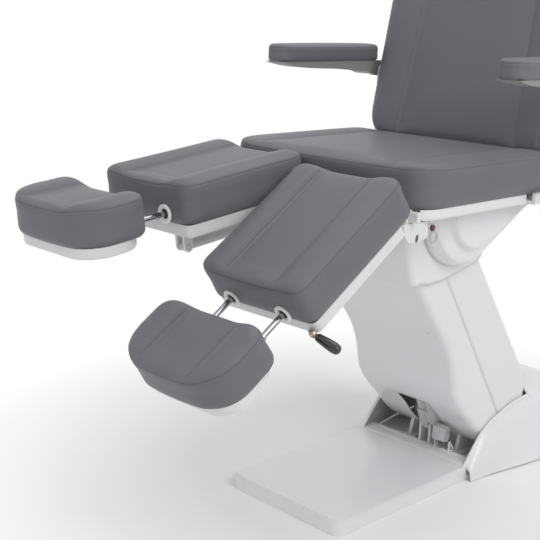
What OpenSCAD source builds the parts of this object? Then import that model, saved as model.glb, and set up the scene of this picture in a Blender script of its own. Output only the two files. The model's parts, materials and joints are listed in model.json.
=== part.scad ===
// Podiatry chair: a lifting, tilting and reclining treatment chair with two split leg rests.
// Z is up, the chair faces -Y, and +X is the sitter's left. The origin is on the floor, under the base.
// Leg pieces are drawn level in the leg's own frame, whose origin is the leg's hinge, and then tilted.
// Back pieces are drawn level in the back's own frame, whose origin is the back's hinge, and then raised.

/* [Pose as it stands] */
// Lean of the lift arm from upright, in degrees
arm_lean = 35.5; // [31:0.5:60]
// Tilt of the left leg rest below level, in degrees
left_leg_tilt = 33.6; // [0:0.1:80]
// Tilt of the right leg rest below level, in degrees
right_leg_tilt = 7; // [0:0.1:80]
// Angle of the backrest above level, in degrees
back_angle = 78; // [5:1:80]
// Gap between calf cushion and foot cushion, set by the rods
foot_gap = 85; // [12:1:140]

/* [Base] */
// Width of the base plate cover at the front
base_w = 356; // [340:2:420]
// Width of the hood's flared foot at the rear
hood_w = 480; // [440:5:560]
// Reach of the base in front of the origin
base_front = 420; // [380:5:480]
// Reach of the base behind the origin
base_rear = 620; // [600:5:700]
// Thickness of the steel base plate
plate_t = 12; // [8:1:14]
// Height of the white foot cover above the floor
foot_cover_h = 36; // [32:1:38]
// Rear end of the foot cover, where the hood begins
foot_cover_end = 55; // [40:1:60]
// Highest point of the hood
hood_h = 200; // [190:1:210]
// Wall of the moulded covers
cover_wall = 3; // [2:0.5:4]

/* [Lift arm] */
// Distance between the arm's two pivots
arm_length = 545; // [525:5:575]
// Height of the lower arm pivot above the floor
base_pivot_z = 180; // [176:1:188]
// Place of the lower arm pivot behind the origin
base_pivot_y = 216; // [206:2:226]
// Width of the column covers
column_w = 330; // [326:1:334]
// Depth of the column covers, square to the arm
column_d = 206; // [200:2:212]
// Width of the steel arm tube
arm_w = 100; // [80:2:110]
// Depth of the steel arm tube
arm_d = 60; // [44:2:64]
// Wall of the steel arm tube
arm_wall = 4; // [3:0.5:6]
// Diameter of the two arm shafts
shaft_d = 28; // [24:1:32]
// Distance between the arm pivots and the levelling link pivots
link_offset = 80; // [74:1:84]
// Width of a levelling link
link_w = 28; // [22:1:30]
// Thickness of a levelling link
link_t = 10; // [8:1:12]

/* [Seat] */
// Width of the seat cushion
seat_w = 600; // [590:5:620]
// Length of the seat cushion
seat_l = 478; // [470:1:482]
// Thickness of the seat cushion
seat_t = 92; // [86:1:100]
// Depth of the white seat pan
pan_h = 24; // [22:1:30]
// Distance of the tilt axis behind the seat's front edge
tilt_back = 297; // [290:1:305]
// Depth of the tilt axis below the seat pan
tilt_drop = 18; // [17:1:20]
// Place of the tilt axis behind the upper arm pivot
tilt_over_y = 47.5; // [44:0.5:50]
// Height of the tilt axis above the upper arm pivot
tilt_over_z = 82.3; // [80:0.5:86]
// Radius of the hub cover where it meets the head cover
hub_r = 132; // [124:1:136]

/* [Back] */
// Width of the back cushion
back_w = 572; // [540:2:580]
// Length of the back cushion
back_l = 700; // [640:5:760]
// Thickness of the back cushion
back_t = 92; // [84:1:100]
// Distance of the back hinge behind the rear edge of the seat
hinge_behind = 47; // [45:1:54]
// Depth of the back hinge below the top of the seat
hinge_drop = 40; // [36:1:44]

/* [Leg rests] */
// Width of each leg cushion
leg_w = 288; // [270:2:290]
// Half of the gap between the two leg rests
leg_gap = 14; // [10:1:20]
// Length of each calf cushion
calf_l = 345; // [330:5:380]
// Thickness of each calf cushion
calf_t = 92; // [84:1:94]
// Length of each foot cushion
foot_l = 170; // [160:2:200]
// Thickness of each foot cushion
foot_t = 84; // [78:1:90]
// Depth of the white trays under the leg cushions
tray_h = 26; // [22:1:28]
// Diameter of the foot rods
rod_d = 12; // [10:0.5:14]
// Half of the distance between the two rods of one leg rest
rod_half = 73; // [66:1:80]
// Diameter of the white flange round each rod
flange_d = 41; // [36:1:44]
// Place of the leg hinge in front of the seat
leg_hinge_ahead = 22; // [20:1:26]
// Depth of the leg hinge below the top of the seat
leg_hinge_drop = 110; // [108:1:114]

/* [Armrests] */
// Length of each armrest pad
arm_pad_l = 375; // [330:5:385]
// Width of each armrest pad
arm_pad_w = 72; // [60:2:80]
// Height of the armrest's underside above the seat
arm_rise = 174; // [168:1:184]

/* [Headrest] */
// Width of the headrest cushion
head_w = 290; // [250:5:320]
// Length of the headrest cushion
head_l = 170; // [150:5:200]
// Thickness of the headrest cushion
head_t = 70; // [60:2:80]

/* [Hidden] */
$fn = 48;

// One overrun for every cut
over = 1;
// Running clearance between a pin and its bore
run_gap = 0.05;
// Clearance between pieces that lie against each other
seat_gap = 0.3;
// Clearance between pieces that move past each other
move_gap = 2;

// Softness of a cushion's edge, its crown and the depth of its sewn channels
pad_soft = 26;
pad_crown = 3;
pad_channel = 5;
small_soft = 18;

// Finishes
leatherette = [0.44, 0.44, 0.45];
cover_white = [0.9, 0.9, 0.9];
frame_white = [0.88, 0.88, 0.88];
steel_grey = [0.5, 0.5, 0.52];
chrome = [0.8, 0.8, 0.82];
zinc = [0.72, 0.68, 0.56];
motor_black = [0.13, 0.13, 0.14];

// Places of the arm pivots and of the tilt axis
head_y = base_pivot_y - arm_length*sin(arm_lean);
head_z = base_pivot_z + arm_length*cos(arm_lean);
tilt_y = head_y + tilt_over_y;
tilt_z = head_z + tilt_over_z;
// Front edge and top of the seat
hinge_back = seat_l + hinge_behind;
seat_y = tilt_y - tilt_back;
seat_z = tilt_z + tilt_drop + pan_h + seat_t;

// Cylinder along X between two places
module xrod(r, x0, x1) {
    translate([x0, 0, 0]) rotate([0, 90, 0]) cylinder(r = r, h = x1 - x0);
}

// Plate across X between two places, from an outline in Y and Z
module xplate(points, x0, x1) {
    translate([x0, 0, 0]) rotate([90, 0, 90]) linear_extrude(x1 - x0) polygon(points);
}

// Box given by its two corners
module block(low, high) {
    translate(low) cube(high - low);
}

// Straight bar between two points of the YZ plane, with round ends, across X between two places
module link_bar(a, b, w, x0, x1) {
    d = b - a;
    n = [-d[1], d[0]]*w/2/norm(d);
    xplate([a + n, a - n, b - n, b + n], x0, x1);
    translate([0, a[0], a[1]]) xrod(w/2, x0, x1);
    translate([0, b[0], b[1]]) xrod(w/2, x0, x1);
}

// The same shape on both sides of the middle plane
module both() {
    children();
    mirror([1, 0, 0]) children();
}

// Places its children on the arm's axis: Z runs up the arm, Y square to it towards the rear
module on_arm() {
    translate([0, base_pivot_y, base_pivot_z]) rotate([arm_lean, 0, 0]) children();
}

// Places its children from the front edge and the top of the seat
module on_seat() {
    translate([0, seat_y, seat_z]) children();
}

// Places its children in the back's own frame, whose origin is the back hinge
module on_back() {
    on_seat() translate([0, hinge_back, -hinge_drop]) rotate([back_angle, 0, 0]) children();
}

// Places its children in a leg's own frame; side is 1 for the left leg and -1 for the right leg
module on_leg(side) {
    tilt = side > 0 ? left_leg_tilt : right_leg_tilt;
    mirror([side > 0 ? 0 : 1, 0, 0]) on_seat()
        translate([0, -leg_hinge_ahead, -leg_hinge_drop]) rotate([tilt, 0, 0]) children();
}

// Cushions. A cushion is a grid over its outline: columns at shares of its half width and rows
// at shares of its length, with walls that are drawn in between a lower and an upper bulge.
// Front or rear edge of a cushion at a place x across it, for an outline drawn in by d
function edge_in(x, w, r, bow, d) =
    let (hw = w/2 - d, rr = max(r - d, r/4), a = max(0, abs(x) - (hw - rr)))
    d + bow*pow(x/hw, 2) + rr - sqrt(max(0, rr*rr - a*a));
// Height share of a sewn channel that runs along the cushion at a place c across it
function channel(x, c, b) = max(0, 1 - abs(abs(x) - c)/b);
// Slope of 0 to 1 with soft ends
function soft(t) = let (u = min(1, max(0, t))) u*u*(3 - 2*u);
// Point of the grid at column share u and row share v, for an outline drawn in by d
function pad_xy(u, v, p, d) =
    let (x = (p[0]/2 - d)*u, y0 = edge_in(x, p[0], p[3], p[5], d),
        y1 = p[1] - edge_in(x, p[0], p[4], p[6], d))
    [x, y0 + v*(y1 - y0)];
// Height of the cushion's top at a point: raised bolsters, a dished middle and sewn channels
function pad_top(q, p) =
    let (mid = 1 - soft((abs(q[0]) - p[9]*0.55)/(p[9]*0.9)), along = q[1]/p[1],
        ends = soft(q[1]/p[11])*soft((p[1] - q[1])/p[11]))
    p[2] - (p[7]*(1 - along) + p[8]*along)*mid
        - p[10]*channel(q[0], p[9], p[10]*2)*ends
        + p[12]*ends*soft((p[0]/2 - abs(q[0]))/p[11]);
// Index list of the grid's border, once round
function border(nu, nv) = concat(
    [for (i = [0 : nu - 2]) [i, 0]], [for (j = [0 : nv - 2]) [nu - 1, j]],
    [for (i = [nu - 1 : -1 : 1]) [i, nv - 1]], [for (j = [nv - 1 : -1 : 1]) [0, j]]);
// Places across a cushion as shares of its half width, closer at the channels and the edges
function pad_columns(p) =
    let (c = p[9]*2/p[0], b = p[10]*4/p[0],
        half = concat([c*0.5, c - b, c, c + b], [for (k = [1 : 3]) c + b + (1 - c - b)*sin(k*30)]))
    concat([for (k = [len(half) - 1 : -1 : 0]) -half[k]], [0], half);

// Cushion from its list of sizes: 0 width, 1 length, 2 thickness, 3 front corner radius,
// 4 rear corner radius, 5 front bow, 6 rear bow, 7 front dish, 8 rear dish, 9 place of the
// channels, 10 depth of the channels, 11 softness of the edge, 12 crown
module pad(p) {
    us = pad_columns(p);
    row_shares = [0, 0.05, 0.14, 0.28, 0.43, 0.57, 0.72, 0.86, 0.95, 1];
    nu = len(us);
    nv = len(row_shares);
    ring = border(nu, nv);
    nr = len(ring);
    soft_r = p[11]/2;
    // Wall layers as height and inset, from the bottom edge up to the top's border
    walls = [[0, soft_r*0.5], [soft_r*0.4, soft_r*0.12], [p[2]*0.3, 0], [p[2]*0.55, soft_r*0.18],
        [p[2] - soft_r*1.1, 0], [p[2] - soft_r*0.45, soft_r*0.22]];
    top_in = soft_r*0.8;
    wall_points = [for (w = walls) for (k = ring)
        let (q = pad_xy(us[k[0]], row_shares[k[1]], p, w[1]), dz = pad_top(q, p) - p[2])
        [q[0], q[1], w[0] + dz*w[0]/p[2]]];
    top_points = [for (j = [0 : nv - 1]) for (i = [0 : nu - 1])
        let (q = pad_xy(us[i], row_shares[j], p, top_in)) [q[0], q[1], pad_top(q, p)]];
    nw = len(wall_points);
    base_point = [[0, p[1]/2, 0]];
    last = nw + len(top_points);
    wall_faces = [for (w = [0 : len(walls) - 2]) for (k = [0 : nr - 1])
        let (a = w*nr + k, b = w*nr + (k + 1) % nr) each [[a, b + nr, b], [a, a + nr, b + nr]]];
    rim = (len(walls) - 1)*nr;
    rim_faces = [for (k = [0 : nr - 1])
        let (m = (k + 1) % nr, a = nw + ring[k][1]*nu + ring[k][0], b = nw + ring[m][1]*nu + ring[m][0])
        each [[rim + k, b, rim + m], [rim + k, a, b]]];
    top_faces = [for (j = [0 : nv - 2]) for (i = [0 : nu - 2])
        let (a = nw + j*nu + i) each [[a, a + nu + 1, a + 1], [a, a + nu, a + nu + 1]]];
    base_faces = [for (k = [0 : nr - 1]) [last, k, (k + 1) % nr]];
    polyhedron(points = concat(wall_points, top_points, base_point),
        faces = concat(wall_faces, rim_faces, top_faces, base_faces));
}

// Base
cheek_x = arm_w/2 + seat_gap*2;
cheek_t = 10;
cheek_r = shaft_d/2 + cheek_t*1.3;
plate_in = cover_wall + seat_gap;
module base_plate() {
    rear_half = hood_side - cover_wall*2;
    cut = foot_corner_r;
    outline = [[-base_w/2 + plate_in, -base_front + cut], [-base_w/2 + cut, -base_front + plate_in],
        [base_w/2 - cut, -base_front + plate_in], [base_w/2 - plate_in, -base_front + cut],
        [base_w/2 - plate_in, foot_cover_end + plate_in], [rear_half, foot_cover_end + cut],
        [rear_half, base_rear - hood_flare_in], [-rear_half, base_rear - hood_flare_in],
        [-rear_half, foot_cover_end + cut], [-base_w/2 + plate_in, foot_cover_end + plate_in]];
    color(steel_grey) linear_extrude(plate_t) polygon(outline);
}

// Low white cover over the front of the base plate, with a stepped rear edge
foot_corner_r = 26;
module base_foot_cover() {
    r = foot_corner_r;
    module slab(inset, z0, z1) {
        w = base_w/2 - inset;
        rr = r - inset;
        translate([0, 0, z0]) linear_extrude(z1 - z0) union() {
            translate([-w, -base_front + inset + rr]) square([2*w, base_front - inset - rr
                + foot_cover_end]);
            translate([-w + rr, -base_front + inset]) square([2*w - 2*rr, rr + over]);
            for (s = [-1, 1]) translate([s*(w - rr), -base_front + inset + rr]) circle(rr);
        }
    }
    edge = cover_wall*1.5;
    color(cover_white) difference() {
        union() {
            slab(0, seat_gap, foot_cover_h - edge);
            slab(edge*0.35, foot_cover_h - edge, foot_cover_h - edge*0.4);
            slab(edge, foot_cover_h - edge*0.4, foot_cover_h);
        }
        difference() {
            slab(cover_wall, -over, foot_cover_h - edge - cover_wall*0.5);
            for (s = [-1, 1]) block([s*base_w/4 - cover_wall, -base_front/2, plate_t],
                [s*base_w/4 + cover_wall, -base_front/3, foot_cover_h]);
        }
    }
}

// Hood over the lower pivot. Its sections across the chair are arches with a flared skirt.
hood_flare_in = 14;
hood_side = base_w/2 + cover_wall*5;
hood_inner = column_w/2 + move_gap*3;
hood_mouth = base_pivot_y + column_d*0.62;
// Places along the hood and heights there, as shares of its length and of its height
hood_y_shares = [0, 0.07, 0.12, 0.19, 0.27, 0.35, 0.47, 0.6, 0.74, 0.86, 0.95, 1];
hood_h_shares = [0.2, 0.47, 0.64, 0.77, 0.86, 0.93, 0.975, 1, 0.93, 0.72, 0.45, 0.2];
hood_w_shares = [0.06, 0.12, 0.2, 0.35, 0.52, 0.68, 0.85, 0.95, 1, 0.98, 0.92, 0.8];
module hood_body(inset) {
    length = base_rear - foot_cover_end;
    steps = 20;
    sections = [for (k = [0 : len(hood_y_shares) - 1])
        let (y = foot_cover_end + length*hood_y_shares[k], h = hood_h*hood_h_shares[k] - inset,
            skirt = (hood_w/2 - hood_side)*hood_w_shares[k], end_in = k == 0 ? -over : inset)
        [for (s = [0 : steps])
            let (t = s*180/steps, z = h*pow(sin(t), 0.45), side = cos(t) < 0 ? -1 : 1,
                x = (hood_side - inset)*pow(abs(cos(t)), 0.4) + skirt*pow(1 - z/h, 2.2))
            [side*x, y - (k == len(hood_y_shares) - 1 ? inset : 0), max(z, 0)]]];
    n = steps + 1;
    m = len(sections);
    points = [for (row = sections) each row];
    faces = concat(
        [for (k = [0 : m - 2]) for (s = [0 : n - 1])
            let (a = k*n + s, b = k*n + (s + 1) % n) each [[a, b, b + n], [a, b + n, a + n]]],
        [for (s = [1 : n - 2]) [0, s + 1, s]],
        [for (s = [1 : n - 2]) [(m - 1)*n, (m - 1)*n + s, (m - 1)*n + s + 1]]);
    polyhedron(points = points, faces = faces);
}
module base_hood() {
    color(cover_white) difference() {
        translate([0, 0, seat_gap]) hood_body(0);
        translate([0, 0, -over]) hood_body(cover_wall);
        block([-hood_inner, 0, -over], [hood_inner, hood_mouth, hood_h + over]);
        block([-inlet_w/2, base_rear - inlet_w*2, inlet_z - inlet_h/2],
            [inlet_w/2, base_rear + over, inlet_z + inlet_h/2]);
        block([-hood_w, -over, -over], [hood_w, base_rear + over, seat_gap]);
    }
}

// Two steel cheeks that carry the lower shaft and the lower link pins
module base_cheeks() {
    foot_y = link_offset*1.6;
    module cheek() {
        difference() {
            union() {
                xplate([[base_pivot_y - foot_y*0.55, plate_t], [base_pivot_y + foot_y, plate_t],
                    [base_pivot_y + link_offset + cheek_r*0.9, base_pivot_z],
                    [base_pivot_y + link_offset, base_pivot_z + cheek_r],
                    [base_pivot_y, base_pivot_z + cheek_r],
                    [base_pivot_y - cheek_r*0.95, base_pivot_z]], cheek_x + link_room, cheek_x
                        + link_room + cheek_t);
                block([cheek_x + link_room - cheek_t*1.5, base_pivot_y - foot_y*0.55, plate_t],
                    [cheek_x + link_room + cheek_t*2.2, base_pivot_y + foot_y, plate_t + cheek_t*0.8]);
            }
            translate([0, base_pivot_y, base_pivot_z]) xrod(shaft_d/2 + run_gap, 0, column_w);
            translate([0, base_pivot_y + link_offset, base_pivot_z]) xrod(link_pin_d/2 + run_gap, 0,
                column_w);
        }
    }
    color(steel_grey) both() cheek();
}

// Levelling links lie between the arm tube and the cheeks
link_room = link_t + move_gap*6;
link_x = cheek_x + link_room/2 - link_t/2;
link_pin_d = 14;
pin_out = 4;
pin_head = 3;

// A shaft with a thin head at each end, along X and centred
module shaft(d, half) {
    xrod(d/2, -half, half);
    both() xrod(d/2 + pin_head, half - seat_gap, half - seat_gap + pin_head);
}

// A short pin on one side, with a head outside
module side_pin(d, x0, x1) {
    xrod(d/2, x0, x1);
    xrod(d/2 + pin_head, x1 - seat_gap/2, x1 + pin_head);
}

module pivot_pins_at(y, z) {
    out = cheek_x + link_room + cheek_t + seat_gap;
    translate([0, y, z]) shaft(shaft_d, out + seat_gap);
    both() translate([0, y + link_offset, z]) side_pin(link_pin_d, link_x - pin_out, out);
}

module base_pivot_pins() {
    color(zinc) {
        pivot_pins_at(base_pivot_y, base_pivot_z);
        translate([0, lift_foot_y, lift_foot_z]) shaft(lift_pin_d, bracket_x + bracket_t + seat_gap*2);
    }
}

// Lift actuator: its foot is on the base and its rod pushes the arm from below
lift_foot_ahead = 91;
lift_foot_below = 100;
lift_foot_y = base_pivot_y - lift_foot_ahead;
lift_foot_z = base_pivot_z - lift_foot_below;
lift_pin_d = 12;
lift_lug_share = 0.62;
lift_lug_gap = 22;
lift_lug_out = arm_d/2 + lift_lug_gap;
lug_y = base_pivot_y - arm_length*lift_lug_share*sin(arm_lean) - lift_lug_out*cos(arm_lean);
lug_z = base_pivot_z + arm_length*lift_lug_share*cos(arm_lean) - lift_lug_out*sin(arm_lean);
eye_r = 13;
eye_t = 20;
bracket_t = 6;
bracket_x = eye_t/2 + move_gap;
motor_r = 20;
rod_r = 9;

module lift_actuator_bracket() {
    y0 = lift_foot_y;
    z0 = lift_foot_z;
    ear = [[y0 - eye_r*1.2, plate_t], [y0 + eye_r*2.4, plate_t], [y0 + eye_r, z0 + eye_r*0.6],
        [y0, z0 + eye_r], [y0 - eye_r, z0 + eye_r*0.4]];
    color(steel_grey) difference() {
        union() {
            both() xplate(ear, bracket_x, bracket_x + bracket_t);
            block([-bracket_x*2.4, y0 - eye_r*1.6, plate_t], [bracket_x*2.4, y0 + eye_r*2.8,
                plate_t + bracket_t]);
        }
        translate([0, y0, z0]) xrod(lift_pin_d/2 + run_gap, -column_w, column_w);
    }
}

// Actuator body from its foot eye along +Z: eye, gear housing, motor alongside and outer tube
module actuator_body(length, pin_d, motor_side) {
    housing = motor_r*2.2;
    difference() {
        union() {
            xrod(eye_r, -eye_t/2, eye_t/2);
            block([-eye_t/2, -eye_r, 0], [eye_t/2, eye_r, eye_r*1.6]);
            translate([0, 0, eye_r*1.4]) cylinder(r = motor_r, h = housing);
            translate([0, 0, eye_r*1.4]) cylinder(r = motor_r*0.8, h = length - eye_r*1.4);
            translate([motor_side*motor_r*1.5, 0, eye_r*1.6]) cylinder(r = motor_r*0.9, h = housing*1.9);
            block([min(0, motor_side*motor_r*1.5), -motor_r*0.8, eye_r*1.6],
                [max(0, motor_side*motor_r*1.5), motor_r*0.8, eye_r*1.6 + housing*0.8]);
        }
        xrod(pin_d/2 + run_gap, -eye_t, eye_t);
        translate([0, 0, eye_r*1.4 + housing*0.5]) cylinder(r = rod_r + run_gap, h = length);
    }
}

// Actuator rod along +Z that ends in an eye; the eye's slot leaves room for the open pivot
module actuator_rod(from, length, pin_d, slack) {
    difference() {
        union() {
            translate([0, 0, from]) cylinder(r = rod_r, h = length - from - eye_r*0.6);
            translate([0, 0, length]) xrod(eye_r + slack, -eye_t/2, eye_t/2);
        }
        translate([0, 0, length]) xrod(pin_d/2 + slack, -eye_t, eye_t);
    }
}

lift_len = norm([lug_y - lift_foot_y, lug_z - lift_foot_z]);
lift_angle = atan2(lift_foot_y - lug_y, lug_z - lift_foot_z);
lift_slack = 3.6;
module lift_actuator_body() {
    color(motor_black) translate([0, lift_foot_y, lift_foot_z]) rotate([lift_angle, 0, 0])
        actuator_body(lift_len*0.68, lift_pin_d, 1);
}
module lift_actuator_rod() {
    color(chrome) translate([0, lift_foot_y, lift_foot_z]) rotate([lift_angle, 0, 0])
        actuator_rod(lift_len*0.4, lift_len, lift_pin_d, lift_slack);
}

// Control box and power inlet at the rear of the base
box_w = 200;
box_l = 110;
box_h = 70;
inlet_w = 48;
inlet_h = 28;
inlet_z = 66;
module control_box() {
    y1 = base_rear - hood_flare_in*4;
    color(motor_black) difference() {
        block([-box_w/2, y1 - box_l, plate_t], [box_w/2, y1, plate_t + box_h]);
        for (s = [-2 : 2]) block([s*box_w/8 - cover_wall, y1 - box_l*0.8, plate_t + box_h - cover_wall],
            [s*box_w/8 + cover_wall, y1 - box_l*0.2, plate_t + box_h + over]);
    }
}
module power_inlet() {
    y0 = base_rear - hood_flare_in*4;
    depth = hood_flare_in*2.6;
    rim = cover_wall;
    color(motor_black) difference() {
        block([-inlet_w/2 + seat_gap, y0, inlet_z - inlet_h/2 + seat_gap],
            [inlet_w/2 - seat_gap, y0 + depth, inlet_z + inlet_h/2 - seat_gap]);
        block([-inlet_w/2 + rim*2, y0 + depth*0.4, inlet_z - inlet_h/2 + rim*1.6],
            [inlet_w/2 - rim*2, y0 + depth + over, inlet_z + inlet_h/2 - rim*1.6]);
    }
}

// Lift arm: a box tube with a cross tube at each end and a lug for the actuator
module lift_arm() {
    cross_r = shaft_d/2 + arm_wall*2.2;
    half = arm_w/2 + link_room - seat_gap;
    lug_half = eye_t/2 + move_gap + bracket_t;
    lug_s = arm_length*lift_lug_share;
    color(steel_grey) on_arm() difference() {
        union() {
            block([-arm_w/2, -arm_d/2, 0], [arm_w/2, arm_d/2, arm_length]);
            xrod(cross_r, -half, half);
            translate([0, 0, arm_length]) xrod(cross_r, -half, half);
            // Bars that carry the front shell on its screws
            for (q = column_screw_places) if (q[0] > 0) {
                d = column_inner(q[1]/arm_length);
                block([-q[0] - screw_d*2, -d, q[1] - bar_w/2], [q[0] + screw_d*2, -d + bracket_t, q[1] + bar_w/2]);
                both() block([lug_half*2, -d + seat_gap, q[1] - bar_w/2], [lug_half*2 + bracket_t, 0, q[1] + bar_w/2]);
            }
            both() link_bar([-lift_lug_out, lug_s], [-arm_d/2 + eye_r/2, lug_s], eye_r*2,
                eye_t/2 + move_gap, lug_half);
        }
        for (q = column_screw_places) translate([q[0], -column_d, q[1]]) rotate([-90, 0, 0])
            cylinder(d = screw_d + seat_gap, h = column_d*0.6);
        block([-arm_w/2 + arm_wall, -arm_d/2 + arm_wall, cross_r],
            [arm_w/2 - arm_wall, arm_d/2 - arm_wall, arm_length - cross_r]);
        xrod(shaft_d/2 + run_gap, -column_w, column_w);
        translate([0, 0, arm_length]) xrod(shaft_d/2 + run_gap, -column_w, column_w);
        translate([0, -lift_lug_out, lug_s]) xrod(lift_pin_d/2 + run_gap, -column_w, column_w);
        block([-eye_t/2 - move_gap, -lift_lug_out - eye_r*2, lug_s - eye_r*1.6],
            [eye_t/2 + move_gap, -arm_d/2, lug_s + eye_r*1.6]);
    }
}

module lift_rod_pin() {
    color(zinc) translate([0, lug_y, lug_z])
        shaft(lift_pin_d, eye_t/2 + move_gap + bracket_t + seat_gap*2);
}

// Column covers on the arm: outlines in the arm's own frame, forward distances first.
// Each share pair is a distance in front of the arm's axis, as a share of the half depth, and a
// height along the arm, as a share of its length.
column_front_shares = [[1.22, -0.02], [1.3, 0.087], [1.36, 0.149], [1.4, 0.216], [1.36, 0.296],
    [1.18, 0.37], [1.04, 0.455], [0.985, 0.525], [1, 0.67], [1.02, 0.86], [1.03, 0.985]];
column_rear_shares = [[0, -0.185], [-0.45, -0.165], [-0.8, -0.105], [-1, 0], [-1, 0.24],
    [-1, 0.735]];
seam_foot_share = 0.28;
seam_head_share = 0.12;
function column_points(shares, inset) =
    [for (q = shares) [-(q[0]*column_d/2 - sign(q[0])*inset), q[1]*arm_length]];
// Distance of the front shell's inner face from the arm's axis at a share of the arm's length
function column_inner(t) =
    lookup(t, [for (q = column_front_shares) [q[1], q[0]]])*column_d/2 - cover_wall - seat_gap*1.7;
bar_w = 16;
column_edge = cover_wall*0.7;
module column_box(front_side) {
    // Half of the cover, split by the seam, with stepped edges
    seam = column_d/2;
    top = arm_length*1.02;
    low = -arm_length*0.2;
    half = column_w/2;
    edge = column_edge;
    module side_outline() {
        front = column_points(column_front_shares, 0);
        rear = column_points(column_rear_shares, 0);
        polygon(concat([for (k = [len(front) - 1 : -1 : 0]) front[k]], rear));
    }
    module inner_outline() {
        front = column_points(column_front_shares, cover_wall);
        rear = column_points(column_rear_shares, cover_wall);
        lift = arm_length*0.05;
        polygon(concat([[front[len(front) - 1][0], top]],
            [for (k = [len(front) - 1 : -1 : 1]) front[k]],
            [[front[0][0], low]], [[rear[3][0], low]], [for (k = [3 : len(rear) - 1]) rear[k]],
            [[rear[len(rear) - 1][0], top]]));
    }
    module seam_outline(shift) {
        a = -column_d*(0.5 - seam_foot_share) + shift;
        b = -column_d*(0.5 - seam_head_share*3.6) + shift;
        polygon(front_side ? [[-column_d, low*2], [a, low*2], [b, top], [-column_d, top]]
            : [[a, low*2], [column_d, low*2], [column_d, top], [b, top]]);
    }
    module across(x0, x1) {
        translate([x0, 0, 0]) rotate([90, 0, 90]) linear_extrude(x1 - x0) children();
    }
    difference() {
        intersection() {
            union() {
                across(-half + edge, half - edge) side_outline();
                across(-half, half) intersection() {
                    side_outline();
                    translate([edge, 0]) side_outline();
                    translate([-edge, 0]) side_outline();
                }
            }
            across(-half - over, half + over) seam_outline(front_side ? -seat_gap/2 : seat_gap/2);
        }
        across(-half + cover_wall, half - cover_wall) inner_outline();
    }
}

notch_half = motor_r*2.6;
module column_front_shell() {
    color(cover_white) on_arm() difference() {
        column_box(true);
        block([-notch_half, -column_d, -arm_length*0.2], [notch_half, 0, arm_length*0.16]);
        for (q = column_screw_places) translate([q[0], -column_d, q[1]]) rotate([-90, 0, 0])
            cylinder(d = screw_d + seat_gap, h = column_d*0.6);
    }
}
module column_rear_shell() {
    color(cover_white) on_arm() column_box(false);
}

// Small screws in the front shell, as places across and along the arm
screw_d = 6;
screw_places_shares = [[0.36, 0.9], [-0.36, 0.9], [0.36, 0.62], [-0.36, 0.62]];
column_screw_places = [for (q = screw_places_shares) [q[0]*column_w, q[1]*arm_length]];
module column_screws() {
    depth = column_d/2*0.985;
    color(zinc) on_arm() for (q = column_screw_places)
        translate([q[0], -depth - seat_gap, q[1]]) rotate([-90, 0, 0]) cylinder(d = screw_d,
            h = screw_d*1.4);
}

// Two links that keep the head level, parallel to the arm
module level_links() {
    a = [base_pivot_y + link_offset, base_pivot_z];
    b = [head_y + link_offset, head_z];
    color(steel_grey) both() difference() {
        link_bar(a, b, link_w, link_x, link_x + link_t);
        translate([0, a[0], a[1]]) xrod(link_pin_d/2 + run_gap, 0, column_w);
        translate([0, b[0], b[1]]) xrod(link_pin_d/2 + run_gap, 0, column_w);
    }
}

// Head: cheeks that join the upper shaft, the upper link pins, the tilt shaft and the tilt motor
tilt_shaft_d = 22;
tilt_eye_r = 24;
spacer_r = 8;
tilt_ear_r = tilt_drop - move_gap;
motor_foot_ahead = 100;
motor_foot_above = 14;
motor_foot_y = head_y - motor_foot_ahead;
motor_foot_z = head_z + motor_foot_above;
tilt_motor_x = -142;
module head_bracket() {
    x0 = cheek_x + link_room;
    p = [head_y, head_z];
    foot = [motor_foot_y, motor_foot_z];
    arm_x0 = tilt_motor_x + tilt_body_r + move_gap;
    color(steel_grey) difference() {
        union() {
            both() {
                link_bar(p, p + [link_offset, 0], cheek_r*1.7, x0, x0 + cheek_t);
                link_bar(p, [tilt_y, tilt_z], tilt_ear_r*2, x0, x0 + cheek_t);
                link_bar(p + [link_offset, 0], [tilt_y, tilt_z], link_pin_d*2, x0, x0 + cheek_t);
            }
            link_bar(p, foot, eye_r*2, -x0 - cheek_t, -x0);
            link_bar(foot + [eye_r, 0], foot, eye_r*1.9, arm_x0, -x0);
            // Spacers that carry the head cover
            both() translate([0, head_y + link_offset*0.5, head_z - spacer_r*0.6])
                xrod(spacer_r, x0 + cheek_t/2, head_half - cover_wall - seat_gap);
            block([-x0, head_y - cheek_r*1.9, head_z + shaft_d*1.15],
                [x0, head_y + tilt_over_y*0.3, head_z + shaft_d*1.15 + cheek_t]);
        }
        translate([0, p[0], p[1]]) xrod(shaft_d/2 + run_gap, -column_w, column_w);
        both() translate([0, p[0] + link_offset, p[1]]) xrod(link_pin_d/2 + run_gap, 0, column_w);
        translate([0, tilt_y, tilt_z]) xrod(tilt_shaft_d/2 + run_gap, -column_w, column_w);
        translate([0, foot[0], foot[1]]) xrod(tilt_pin_d/2 + run_gap, -column_w, column_w);
    }
}

tilt_pin_d = 10;
module head_pivot_pins() {
    color(zinc) {
        pivot_pins_at(head_y, head_z);
        translate([0, motor_foot_y, motor_foot_z]) {
            xrod(tilt_pin_d/2, tilt_motor_x - eye_t/2 - seat_gap, -cheek_x - link_room);
            xrod(tilt_pin_d/2 + pin_head, tilt_motor_x - eye_t/2 - pin_head,
                tilt_motor_x - eye_t/2 - seat_gap);
        }
    }
}

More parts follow.
